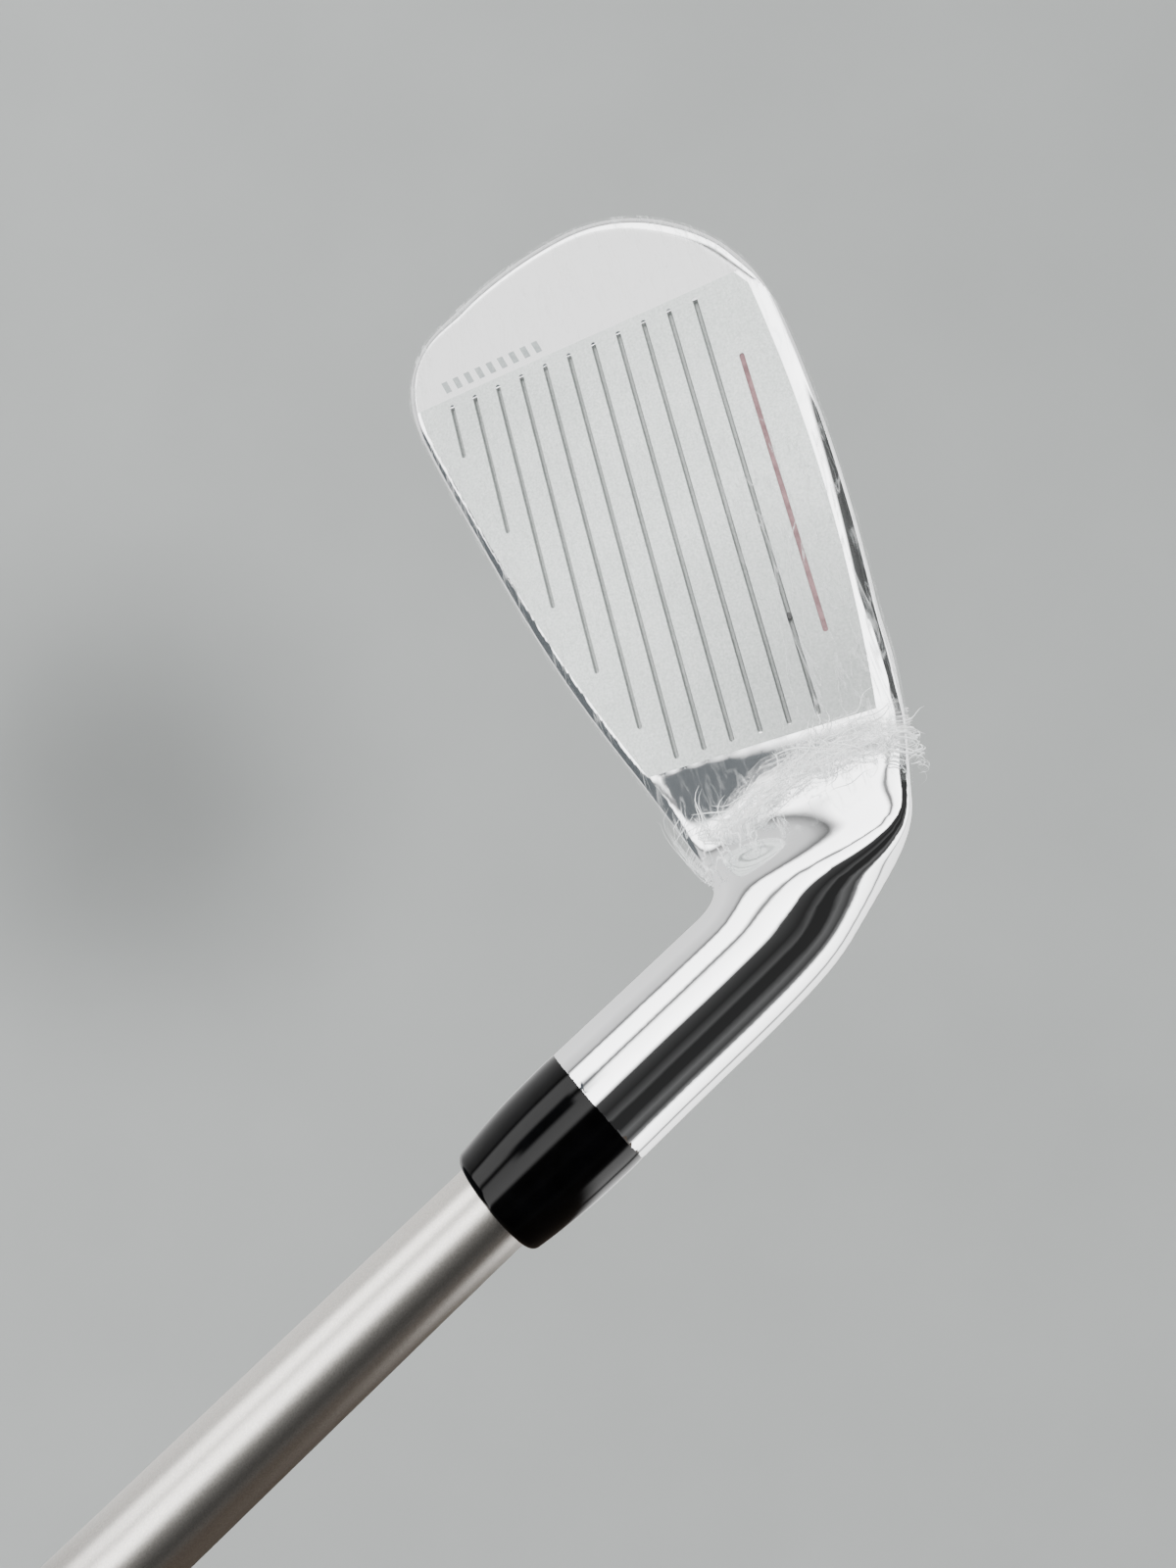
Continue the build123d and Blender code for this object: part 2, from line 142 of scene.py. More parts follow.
def new_piece(name, points_mm, faces, material, slot=None, *nodes):
    """A mesh piece from millimetre points, on the club's body, standing for CAD nodes."""
    mesh = bpy.data.meshes.new(name)
    mesh.from_pydata((np.asarray(points_mm) * MM).tolist(), [], [list(f) for f in faces])
    mesh.update()
    piece = bpy.data.objects.new(name, mesh)
    bpy.context.collection.objects.link(piece)
    mesh.materials.append(material)
    finish_piece(piece, slot, *nodes)
    return piece


def finish_piece(piece, slot, *nodes):
    """Put a piece on the club's body and let it stand for CAD nodes; the slot is not used."""
    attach(piece, "root")
    if nodes:
        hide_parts(*nodes)


def smooth_copy(node, name, material, slot, angle=25.0):
    """The CAD node's mesh with its seams welded, shaded smooth up to sharp edges."""
    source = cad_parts[node]
    piece = bpy.data.objects.new(name, source.data.copy())
    bpy.context.collection.objects.link(piece)
    piece.data.materials.clear()
    piece.data.materials.append(material)
    select_only(piece)
    bpy.ops.object.mode_set(mode="EDIT")
    bpy.ops.mesh.select_all(action="SELECT")
    bpy.ops.mesh.remove_doubles(threshold=0.000004)
    bpy.ops.mesh.normals_make_consistent(inside=False)
    bpy.ops.object.mode_set(mode="OBJECT")
    if piece.data.has_custom_normals:
        bpy.ops.mesh.customdata_custom_splitnormals_clear()
    bpy.ops.object.shade_smooth_by_angle(angle=math.radians(angle))
    finish_piece(piece, slot, node)
    return piece


def face_points(x, up, out):
    """Millimetre points from distances toward the toe, up the face and off it."""
    x, up, out = np.broadcast_arrays(np.asarray(x, float), up, out)
    return (LEADING_EDGE + x[..., None] * np.array([1.0, 0.0, 0.0])
            + up[..., None] * FACE_UP + out[..., None] * FACE_OUT)


def face_places(points):
    """Distances toward the toe, up the face and off it, of millimetre points."""
    off = points - LEADING_EDGE
    return points[:, 0], off @ FACE_UP, off @ FACE_OUT


# ---- the head's shape ------------------------------------------------------------
#
# The head is one flowing solid without straight edges, so it is described by a distance:
# negative inside the metal, positive outside. Rounded cuts and soft joins of such
# distances give the radii, and the skin is then drawn where the distance is zero.


def curve_through(points, count):
    """Evenly spaced points on a natural cubic curve through the given ones."""
    knots = np.array(points, float)
    last = len(knots) - 1
    steps = np.linalg.norm(np.diff(knots[:, :3], axis=0), axis=1)
    along = np.concatenate([[0.0], np.cumsum(steps)])
    system = np.zeros((last + 1, last + 1))
    target = np.zeros_like(knots)
    system[0, 0] = system[last, last] = 1.0
    for i in range(1, last):
        system[i, i - 1] = steps[i - 1]
        system[i, i] = 2.0 * (steps[i - 1] + steps[i])
        system[i, i + 1] = steps[i]
        ahead = (knots[i + 1] - knots[i]) / steps[i]
        behind = (knots[i] - knots[i - 1]) / steps[i - 1]
        target[i] = 6.0 * (ahead - behind)
    bend = np.linalg.solve(system, target)
    place = np.linspace(0.0, along[-1], count)
    k = np.clip(np.searchsorted(along, place, side="right") - 1, 0, last - 1)
    before = ((along[k + 1] - place) / steps[k])[:, None]
    after = 1.0 - before
    size = steps[k][:, None] ** 2 / 6.0
    return (before * knots[k] + after * knots[k + 1]
            + ((before ** 3 - before) * bend[k] + (after ** 3 - after) * bend[k + 1]) * size)


TABLE_X = np.arange(-34.0, 87.01, 0.5)
TABLE_UP = np.arange(-14.0, 60.01, 0.5)


def outline_table(outline, *closing):
    """Signed distance to a closed outline on a half-millimetre table, positive outside."""
    corners = np.vstack([curve_through(outline, 420), closing])
    sides = np.roll(corners, -1, axis=0) - corners
    lengths = (sides ** 2).sum(axis=1)
    x, up = (g.ravel()[:, None] for g in np.meshgrid(TABLE_X, TABLE_UP, indexing="ij"))
    off_x, off_up = x - corners[:, 0], up - corners[:, 1]
    share = np.clip((off_x * sides[:, 0] + off_up * sides[:, 1]) / lengths, 0.0, 1.0)
    gap = np.sqrt(((off_x - share * sides[:, 0]) ** 2 + (off_up - share * sides[:, 1]) ** 2).min(axis=1))
    spans = (corners[:, 1] > up) != (corners[:, 1] + sides[:, 1] > up)
    rise = np.where(sides[:, 1] == 0.0, 1e-12, sides[:, 1])
    crossings = (spans & (x < sides[:, 0] * off_up / rise + corners[:, 0])).sum(axis=1)
    return np.where(crossings % 2 == 1, -gap, gap).reshape(len(TABLE_X), len(TABLE_UP))


OUTLINE_TABLE = outline_table(BLADE_OUTLINE, OUTLINE_CLOSING)
HEEL_TABLE = outline_table(HEEL_OUTLINE, (-33, 59), (86, 59), (86, -13))
NECK = curve_through(NECK_PATH, 48)


def outline_distance(x, up, t=OUTLINE_TABLE):
    """Distance outside an outline, read smoothly from its table."""
    across = np.clip((x - TABLE_X[0]) * 2.0, 0.0, len(TABLE_X) - 1.001)
    along = np.clip((up - TABLE_UP[0]) * 2.0, 0.0, len(TABLE_UP) - 1.001)
    i, j = across.astype(int), along.astype(int)
    a, b = across - i, along - j
    return (t[i, j] * (1 - a) * (1 - b) + t[i + 1, j] * a * (1 - b)
            + t[i, j + 1] * (1 - a) * b + t[i + 1, j + 1] * a * b)


def round_cut(first, second, radius):
    """What lies inside both shapes, with the edge between them rounded."""
    return (np.minimum(-radius, np.maximum(first, second))
            + np.hypot(np.maximum(radius + first, 0.0), np.maximum(radius + second, 0.0)))


def soft_join(first, second, reach):
    """Both shapes together, with a fillet of the given reach between them."""
    near = np.maximum(reach - np.abs(first - second), 0.0) / reach
    return np.minimum(first, second) - near * near * reach * 0.25


def ease(value):
    """A smooth step from 0 to 1."""
    value = np.clip(value, 0.0, 1.0)
    return value * value * (3.0 - 2.0 * value)


def neck_distance(points):
    """Distance outside the neck that bends from the hosel into the heel."""
    nearest = np.full(len(points), 1e9)
    for start, end in zip(NECK[:-1], NECK[1:]):
        run = end[:3] - start[:3]
        share = np.clip(((points - start[:3]) @ run) / (run @ run), 0.0, 1.0)
        gap = np.linalg.norm(points - (start[:3] + share[:, None] * run), axis=1)
        np.minimum(nearest, gap - (start[3] + share * (end[3] - start[3])), out=nearest)
    return nearest


SOLE_LOW_X, SOLE_LOW_Y, SOLE_RADIUS, CAMBER_RADIUS = 38.0, 6.5, 26.0, 210.0
LEADING_RADIUS = 2.3


def edge_radius(x, up):
    """Rounding of the face's edge: slim along the topline, fuller round the toe and its low corner."""
    low_corner = ease((22.0 - up) / 14.0) * ease((x - 55.0) / 15.0)
    toe_end = ease((x - 69.0) / 8.0) * ease((46.0 - up) / 8.0)
    rounding = 1.3 + 0.6 * ease((x - 62.0) / 8.0) + 1.2 * low_corner
    return rounding + 1.6 * toe_end * (1.0 - 0.6 * low_corner)


# Past the face plate the front leans up as a narrow flat, then bends up into the neck.
RUNOUT_X, RUNOUT_FLAT, RUNOUT_RADIUS, HOLLOW_RADIUS = 8.6, 2.4, 9.0, 22.0
RUNOUT_SLOPE = math.tan(math.radians(10.0))
TOPLINE_THICKNESS = 6.5
HEEL_LIFT = 1.0

# The sole bar's back is two slanted planes, as (depth, height, share backward, share upward).
BAR_PLANES = [(17.8, 3.0, 0.98, 0.19), (16.0, 12.5, 0.94, 0.34)]
BAR_NARROWING_X, BAR_NARROWING = 14.0, 0.45
BLADE_HEEL_X, NECK_FOOT = -5.5, 28.5

# The opening for the face plate and the cavity: distances in from the outline, their ends and depth.
POCKET_RIM, POCKET_SOLE, POCKET_HEEL_X, POCKET_TOE_X, POCKET_DEPTH = 3.0, 4.5, 10.0, 64.0, 2.65
CAVITY_RIM, CAVITY_UP, CAVITY_HEEL_X, CAVITY_DEPTH = 5.6, 15.5, 18.0, 2.5


def sole_distance(x, y, z):
    """Distance under the sole, which is round front to back and cambered heel to toe."""
    camber = CAMBER_RADIUS - np.sqrt(CAMBER_RADIUS ** 2 - np.clip(x - SOLE_LOW_X, -60.0, 60.0) ** 2)
    camber = camber + HEEL_LIFT * ease((8.0 - x) / 10.0)
    return np.hypot(y - SOLE_LOW_Y, z - camber - SOLE_RADIUS) - SOLE_RADIUS, z - camber


def solid_distance(points):
    """The head without its bore, face recess and cavity: also the shape the film is shrunk on."""
    x, y, z = points.T
    _, up, out = face_places(points)
    sole, above = sole_distance(x, y, z)
    narrowing = np.clip(BAR_NARROWING_X - x, 0.0, 30.0) * BAR_NARROWING
    plate = -out - TOPLINE_THICKNESS
    bar_back, bar_slope = ((y - depth + narrowing) * backward + (above - height) * upward
                           for depth, height, backward, upward in BAR_PLANES)
    bar = round_cut(bar_back, bar_slope, 2.0)
    thickness = soft_join(plate, bar, 3.5)
    edge = outline_distance(x, up)
    radius = edge_radius(x, up)
    blade = round_cut(round_cut(sole, thickness, 1.8), edge, 1.3)
    blade = round_cut(blade, (BLADE_HEEL_X - x) * 0.95, 3.0)
    blade = round_cut(blade, outline_distance(x, z, HEEL_TABLE), 2.5)
    reach = np.clip(RUNOUT_X - x, 0.0, None)
    bend = np.clip(reach - RUNOUT_FLAT, 0.0, None)
    hollow = HOLLOW_RADIUS - np.sqrt(HOLLOW_RADIUS ** 2 - np.minimum(bend, 18.0) ** 2)
    front = out - (RUNOUT_SLOPE * reach + hollow) * math.cos(LOFT)
    blade = round_cut(front, blade, radius)
    blade = np.maximum(blade, round_cut(front, sole, LEADING_RADIUS))
    station = points @ SHAFT_UP
    radial = np.linalg.norm(points - station[:, None] * SHAFT_UP, axis=1)
    hosel = round_cut(radial - HOSEL_RADIUS, NECK_FOOT - station, 0.5)
    neck = np.minimum(neck_distance(points), hosel)
    joined = soft_join(blade, neck, 6.5 + 3.0 * ease((24.0 - z) / 12.0))
    runout = out - (RUNOUT_SLOPE * reach + bend ** 2 / (2.0 * RUNOUT_RADIUS)) * math.cos(LOFT)
    return round_cut(runout, joined, 0.002 + 2.8 * ease((5.8 - x) / 9.0))


def recess_distance(points):
    """The opening behind the face plate and the cavity in the back, negative inside."""
    x, up, out = face_places(points)
    edge = outline_distance(x, up)
    sole = sole_distance(*points.T)[0]
    pocket = np.maximum.reduce([edge + POCKET_RIM, sole + POCKET_SOLE, POCKET_HEEL_X - x,
                                x - POCKET_TOE_X, -POCKET_DEPTH - out])
    cavity = np.maximum.reduce([edge + CAVITY_RIM, CAVITY_UP - up, CAVITY_HEEL_X - x, out + CAVITY_DEPTH])
    return pocket, cavity


def head_distance(points):
    """The whole head body."""
    pocket, cavity = recess_distance(points)
    station = points @ SHAFT_UP
    radial = np.linalg.norm(points - station[:, None] * SHAFT_UP, axis=1)
    head = round_cut(solid_distance(points), station - HOSEL_TOP, 0.35)
    bore = np.maximum(radial - BORE_RADIUS, BORE_BOTTOM - station)
    head = round_cut(head, -bore, 0.3)
    head = round_cut(head, -cavity, 0.6)
    return np.maximum(head, -pocket)


def skin(distance, low, high, step):
    """Quads on the zero of a distance, by joining one point per crossed cell."""
    coarse = step * 4.0
    counts = [int(math.ceil((h - l) / coarse)) for l, h in zip(low, high)]
    axes = [l + coarse * np.arange(n + 1) for l, n in zip(low, counts)]
    grid = np.stack([g.ravel() for g in np.meshgrid(*axes, indexing="ij")], axis=1)
    rough = distance(grid).reshape([n + 1 for n in counts])
    nearest = np.full(counts, 1e9)
    for a in (0, 1):
        for b in (0, 1):
            for c in (0, 1):
                part = np.abs(rough[a:counts[0] + a, b:counts[1] + b, c:counts[2] + c])
                nearest = np.minimum(nearest, part)
    fine = rough
    for axis in range(3):
        fine = np.repeat(fine, 4, axis=axis)
    fine = fine[:counts[0] * 4 + 1, :counts[1] * 4 + 1, :counts[2] * 4 + 1].copy()
    close = nearest < coarse * 1.5
    for axis in range(3):
        close = np.repeat(close, 4, axis=axis)
    wanted = np.zeros(fine.shape, bool)
    for a in (0, 1):
        for b in (0, 1):
            for c in (0, 1):
                wanted[a:a + close.shape[0], b:b + close.shape[1], c:c + close.shape[2]] |= close
    places = np.argwhere(wanted)
    fine[wanted] = distance(np.array(low) + step * places)

    inside = fine < 0.0
    corners = [np.array(c) for c in ((0, 0, 0), (1, 0, 0), (0, 1, 0), (1, 1, 0),
                                     (0, 0, 1), (1, 0, 1), (0, 1, 1), (1, 1, 1))]
    shape = np.array(fine.shape) - 1
    filled = sum(inside[c[0]:c[0] + shape[0], c[1]:c[1] + shape[1], c[2]:c[2] + shape[2]].astype(np.int8)
                 for c in corners)
    crossed = (filled > 0) & (filled < 8)
    cells = np.argwhere(crossed)
    number = np.full(crossed.shape, -1)
    number[crossed] = np.arange(len(cells))
    total = np.zeros((len(cells), 3))
    hits = np.zeros(len(cells))
    for i, start in enumerate(corners):
        for end in corners[i + 1:]:
            if np.abs(start - end).sum() != 1:
                continue
            first = fine[tuple((cells + start).T)]
            second = fine[tuple((cells + end).T)]
            cuts = (first < 0.0) != (second < 0.0)
            share = np.where(cuts, first / np.where(cuts, first - second, 1.0), 0.0)
            total[cuts] += (start + share[:, None] * (end - start))[cuts]
            hits[cuts] += 1
    points = np.array(low) + step * (cells + total / hits[:, None])
    faces = []
    for axis in range(3):
        side, up = ((1, 2), (2, 0), (0, 1))[axis]
        first = [slice(None)] * 3
        second = [slice(None)] * 3
        first[axis], second[axis] = slice(0, -1), slice(1, None)
        edges = np.argwhere(inside[tuple(first)] != inside[tuple(second)])
        one, two = np.zeros(3, int), np.zeros(3, int)
        one[side], two[up] = 1, 1
        within = ((edges[:, side] > 0) & (edges[:, up] > 0)
                  & (edges[:, side] < shape[side]) & (edges[:, up] < shape[up]))
        edges = edges[within]
        ring = np.stack([number[tuple((edges - one - two).T)], number[tuple((edges - two).T)],
                         number[tuple(edges.T)], number[tuple((edges - one).T)]], axis=1)
        backward = ~inside[tuple(edges.T)]
        ring[backward] = ring[backward][:, ::-1]
        faces.append(ring)
    return points, np.vstack(faces)


def slope(distance, points, reach=0.05):
    """Direction in which a distance grows, at each point."""
    parts = []
    for axis in range(3):
        shift = np.zeros(3)
        shift[axis] = reach
        parts.append((distance(points + shift) - distance(points - shift)) / (2.0 * reach))
    return np.stack(parts, axis=1)


def settle(distance, points, rounds=2):
    """Move points onto the zero of a distance; returns them with their outward normals."""
    for _ in range(rounds):
        way = slope(distance, points)
        size = np.maximum((way ** 2).sum(axis=1), 0.2)
        step = np.clip(distance(points) / size, -0.4, 0.4)
        points = points - way * step[:, None]
    way = slope(distance, points)
    return points, way / np.linalg.norm(way, axis=1)[:, None]


def even_normals(points, faces, normals, rounds=7):
    """Average the normals over their neighbours on the neck and heel, so reflections run clean."""
    station = points @ SHAFT_UP
    share = (ease((12.0 - points[:, 0]) / 6.0) * ease((51.0 - station) / 2.0))[:, None]
    for _ in range(rounds):
        middle = normals[faces].sum(axis=1)
        total = np.zeros_like(normals)
        for k in range(4):
            np.add.at(total, faces[:, k], middle)
        total /= np.linalg.norm(total, axis=1)[:, None]
        normals = normals * (1.0 - share) + total * share
        normals /= np.linalg.norm(normals, axis=1)[:, None]
    return normals


def turned(profile, around, relief=None):
    """Points and faces of a shape turned about the shaft's axis from (radius, station) pairs."""
    profile = np.array(profile, float)
    turn = np.linspace(0.0, math.tau, around, endpoint=False)
    radius = np.repeat(profile[:, 0][:, None], around, axis=1)
    if relief is not None:
        radius = radius + relief(profile[:, 1][:, None], turn[None, :], radius)
    front = np.array([0.0, -1.0, 0.0])
    outward = SHAFT_SIDE * np.cos(turn)[None, :, None] + front * np.sin(turn)[None, :, None]
    points = SHAFT_UP * profile[:, 1][:, None, None] + radius[..., None] * outward
    rows = len(profile)
    faces = []
    for i in range(rows - 1):
        for j in range(around):
            n = (j + 1) % around
            faces.append((i * around + j, i * around + n, (i + 1) * around + n, (i + 1) * around + j))
    return points.reshape(-1, 3), faces


def closed_ring(profile, around, relief=None):
    """A turned shape whose profile is a closed loop."""
    points, faces = turned(list(profile) + [profile[0]], around, relief)
    last = (len(profile)) * around
    faces = [tuple(i - last if i >= last else i for i in f) for f in faces]
    return points[:last], faces


def make_outward(piece):
    """Turn the faces of a closed piece outward."""
    select_only(piece)
    bpy.ops.object.mode_set(mode="EDIT")
    bpy.ops.mesh.select_all(action="SELECT")
    bpy.ops.mesh.normals_make_consistent(inside=False)
    bpy.ops.object.mode_set(mode="OBJECT")


# ---- finishes --------------------------------------------------------------------


def toe_mask(tree, where):
    """1 on the face plane beyond the parting line, 0 elsewhere."""
    parts = add_node(tree, "ShaderNodeSeparateXYZ", inputs={"Vector": where})
    out = add_node(tree, "ShaderNodeVectorMath", {"operation": "DOT_PRODUCT"}, {0: where, 1: FACE_OUT})
    on_plane = add_node(tree, "ShaderNodeMapRange", inputs={
        "Value": out.outputs["Value"],
        "From Min": FACE_LEVEL - 0.10 * MM, "From Max": FACE_LEVEL - 0.02 * MM})
    beyond = add_node(tree, "ShaderNodeMapRange", inputs={
        "Value": parts.outputs["X"],
        "From Min": (PARTING_X - 0.05) * MM, "From Max": (PARTING_X + 0.05) * MM})
    both = add_node(tree, "ShaderNodeMath", {"operation": "MULTIPLY"}, {
        0: on_plane.outputs[0], 1: beyond.outputs[0]})
    return both.outputs[0]


def chrome_material(colours):
    """Chrome plate over polished steel.

    It is a clear mirror with faint wiping marks. The toe's flat is blasted before plating, so
    it is satin and spreads the light evenly. Its real grain is too fine to show and is drawn
    at 0.33 mm.
    """
    material, tree, shader = new_material("chrome plate", {})
    where = object_coordinates(tree)
    toe = toe_mask(tree, where)
    metal = add_node(tree, "ShaderNodeMapRange", inputs={"Value": toe, "To Min": 1.0, "To Max": 0.08})
    tree.links.new(metal.outputs[0], shader.inputs["Metallic"])
    smudge = add_node(tree, "ShaderNodeTexNoise", inputs={
        "Vector": where, "Scale": scale_for(6.25), "Detail": 5.0})
    rough = add_node(tree, "ShaderNodeMapRange", inputs={
        "Value": smudge.outputs["Fac"], "From Min": 0.3, "From Max": 0.8, "To Min": 0.025, "To Max": 0.075})
    satin = add_node(tree, "ShaderNodeMix", inputs={"Factor": toe, "A": rough.outputs[0], "B": 0.46})
    tree.links.new(satin.outputs[0], shader.inputs["Roughness"])
    grain = add_node(tree, "ShaderNodeTexNoise", inputs={
        "Vector": where, "Scale": scale_for(0.3333), "Detail": 2.0})
    tone = add_node(tree, "ShaderNodeMapRange", inputs={
        "Value": grain.outputs["Fac"], "To Min": 0.93, "To Max": 1.0})
    mixed = add_node(tree, "ShaderNodeMix", {"data_type": "RGBA"}, {
        0: toe, 6: colours.chrome[:] + (1.0,), 7: tone.outputs[0]})
    tree.links.new(mixed.outputs[2], shader.inputs["Base Color"])
    height = add_node(tree, "ShaderNodeMath", {"operation": "MULTIPLY"}, {0: grain.outputs["Fac"], 1: toe})
    bump = add_node(tree, "ShaderNodeBump", inputs={
        "Height": height.outputs[0], "Strength": 0.10, "Distance": 0.02 * MM})
    tree.links.new(bump.outputs["Normal"], shader.inputs["Normal"])
    return material


def blasted_material():
    """Bead-blasted steel.

    It is bright and even, with painted shade down in the score lines and toward the heel's
    low corner. Its real grain of about 0.05 mm is too fine to show and is drawn at 0.28 mm.
    """
    material, tree, shader = new_material("blasted steel", {"Metallic": 0.40, "Roughness": 0.42})
    where = object_coordinates(tree)
    grain = add_node(tree, "ShaderNodeTexNoise", inputs={
        "Vector": where, "Scale": scale_for(0.2778), "Detail": 3.0})
    patches = add_node(tree, "ShaderNodeTexNoise", inputs={
        "Vector": where, "Scale": scale_for(11.11), "Detail": 3.0})
    both = add_node(tree, "ShaderNodeMath", {"operation": "MULTIPLY_ADD"}, {
        0: patches.outputs["Fac"], 1: 0.35, 2: grain.outputs["Fac"]})
    colour = add_node(tree, "ShaderNodeValToRGB", inputs={"Fac": both.outputs[0]})
    colour.color_ramp.elements[0].position = 0.45
    colour.color_ramp.elements[0].color = linear("#BCC3C0")
    colour.color_ramp.elements[1].position = 0.95
    colour.color_ramp.elements[1].color = linear("#EAEEEC")
    # Painted shade: the colour darkens down into the score lines and toward the heel's low corner.
    depth = add_node(tree, "ShaderNodeVectorMath", {"operation": "DOT_PRODUCT"}, {0: where, 1: FACE_OUT})
    shade = add_node(tree, "ShaderNodeMapRange", inputs={
        "Value": depth.outputs["Value"],
        "From Min": FACE_LEVEL - 0.40 * MM, "From Max": FACE_LEVEL - 0.01 * MM,
        "To Min": 0.42, "To Max": 1.0})
    corner = add_node(tree, "ShaderNodeVectorMath", {"operation": "DISTANCE"}, {
        0: where, 1: face_points(6.0, 0.0, 0.0) * MM})
    corner_painted_shade = add_node(tree, "ShaderNodeMapRange", inputs={
        "Value": corner.outputs["Value"], "From Min": 4.0 * MM, "From Max": 36.0 * MM,
        "To Min": 0.48, "To Max": 1.0})
    tone = add_node(tree, "ShaderNodeMath", {"operation": "MULTIPLY"}, {
        0: shade.outputs[0], 1: corner_painted_shade.outputs[0]})
    painted_shade_colour = add_node(tree, "ShaderNodeMix", {"data_type": "RGBA", "blend_type": "MULTIPLY"}, {
        0: 1.0, 6: colour.outputs["Color"], 7: tone.outputs[0]})
    tree.links.new(painted_shade_colour.outputs[2], shader.inputs["Base Color"])
    bump = add_node(tree, "ShaderNodeBump", inputs={
        "Height": grain.outputs["Fac"], "Strength": 0.16, "Distance": 0.03 * MM})
    tree.links.new(bump.outputs["Normal"], shader.inputs["Normal"])
    return material


def grained_material(name, dark, light, grain_mm, roughness, metallic=0.0, bump_strength=0.1):
    """A finish of two close tones in a grain of a size in millimetres, with a matching relief."""
    material, tree, shader = new_material(name, {"Roughness": roughness, "Metallic": metallic})
    where = object_coordinates(tree)
    grain = add_node(tree, "ShaderNodeTexNoise", inputs={
        "Vector": where, "Scale": scale_for(grain_mm), "Detail": 4.0})
    colour = add_node(tree, "ShaderNodeValToRGB", inputs={"Fac": grain.outputs["Fac"]})
    colour.color_ramp.elements[0].position = 0.35
    colour.color_ramp.elements[0].color = linear(dark)
    colour.color_ramp.elements[1].position = 0.68
    colour.color_ramp.elements[1].color = linear(light)
    tree.links.new(colour.outputs["Color"], shader.inputs["Base Color"])
    bump = add_node(tree, "ShaderNodeBump", inputs={
        "Height": grain.outputs["Fac"], "Strength": bump_strength, "Distance": 0.04 * MM})
    tree.links.new(bump.outputs["Normal"], shader.inputs["Normal"])
    return material


# ---- sizes and colours a user would change ---------------------------------------


class ClubSizes(bpy.types.PropertyGroup):
    line_count: IntProperty(name="Score lines", description="Plain score lines on the face", default=11)
    line_pitch: FloatProperty(name="Pitch", description="Between score lines",
                              default=3.4 * MM, unit="LENGTH")
    line_width: FloatProperty(name="Line width", description="Width of a line",
                              default=0.75 * MM, unit="LENGTH")
    line_depth: FloatProperty(name="Line depth", description="Depth of a line",
                              default=0.45 * MM, unit="LENGTH")
    skin_step: FloatProperty(name="Skin step", description="Spacing of the head's mesh",
                             default=0.5 * MM, unit="LENGTH")
    camera_lens: FloatProperty(name="Lens", description="Focal length", default=22.5, unit="CAMERA")


class ClubColours(bpy.types.PropertyGroup):
    chrome: FloatVectorProperty(name="Chrome", description="Tint of the plate", subtype="COLOR",
                                default=linear("#F2F3F4")[:3])
    backdrop: FloatVectorProperty(name="Backdrop", description="Paper behind the club", subtype="COLOR",
                                  default=linear("#ABAEAD")[:3])


# ---- pieces ----------------------------------------------------------------------


class CLUB_OT_head(bpy.types.Operator):
    """Draw the skin of the head body in polished chrome"""
    bl_idname = "club.head"
    bl_label = "Head body"

    def execute(self, context):
        step = context.scene.club_sizes.skin_step / MM
        points, faces = skin(head_distance, (-36.0, -9.5, -2.0), (85.0, 23.0, 56.0), step)
        points, normals = settle(head_distance, points)
        normals = even_normals(points, faces, normals)
        head = new_piece("club_head", points, faces, chrome_material(context.scene.club_colours),
                         "head_chrome", "head_body")
        head.data.shade_smooth()
        head.data.normals_split_custom_set_from_vertices(normals.tolist())
        return {"FINISHED"}


# The score lines end short of the parting line, and start where the outline leaves them
# room. The lowest line is shorter and holds the paint.
TOP_LINE_UP = 42.4
LINE_HEEL_X, LINE_TOE_X, LINE_MARGIN = 9.7, 64.6, 4.1
PAINTED_HEEL_X, PAINTED_TOE_X = 18.7, 55.1


def line_ends(up):
    """Heel end and toe end of the score line at a height up the face, in mm."""
    x = np.linspace(LINE_HEEL_X, 64.0, 500)
    room = outline_distance(x, np.full_like(x, up)) < -LINE_MARGIN
    return (x[room][0] if room.any() else LINE_HEEL_X), LINE_TOE_X


def bar_shape(heel_x, toe_x, up, width, low, high, rounds=8):
    """Points and faces of a round-ended bar lying along a score line, narrower at its bottom."""
    points = []
    for out, half in ((low, width * 0.20), (low * 0.45, width * 0.38), (high, width * 0.5)):
        ring = []
        for i in range(rounds + 1):
            turn = -math.pi / 2.0 + math.pi * i / rounds
            ring.append((toe_x - width / 2.0 + half * math.cos(turn), up + half * math.sin(turn)))
        for i in range(rounds + 1):
            turn = math.pi / 2.0 + math.pi * i / rounds
            ring.append((heel_x + width / 2.0 + half * math.cos(turn), up + half * math.sin(turn)))
        points += [face_points(x, u, out) for x, u in ring]
    count = 2 * (rounds + 1)
    faces = []
    for base in (0, count):
        for i in range(count):
            n = (i + 1) % count
            faces.append([n + base, i + base, i + base + count, n + base + count])
    faces.append(list(range(count)))
    faces.append(list(range(3 * count - 1, 2 * count - 1, -1)))
    return np.array(points), faces


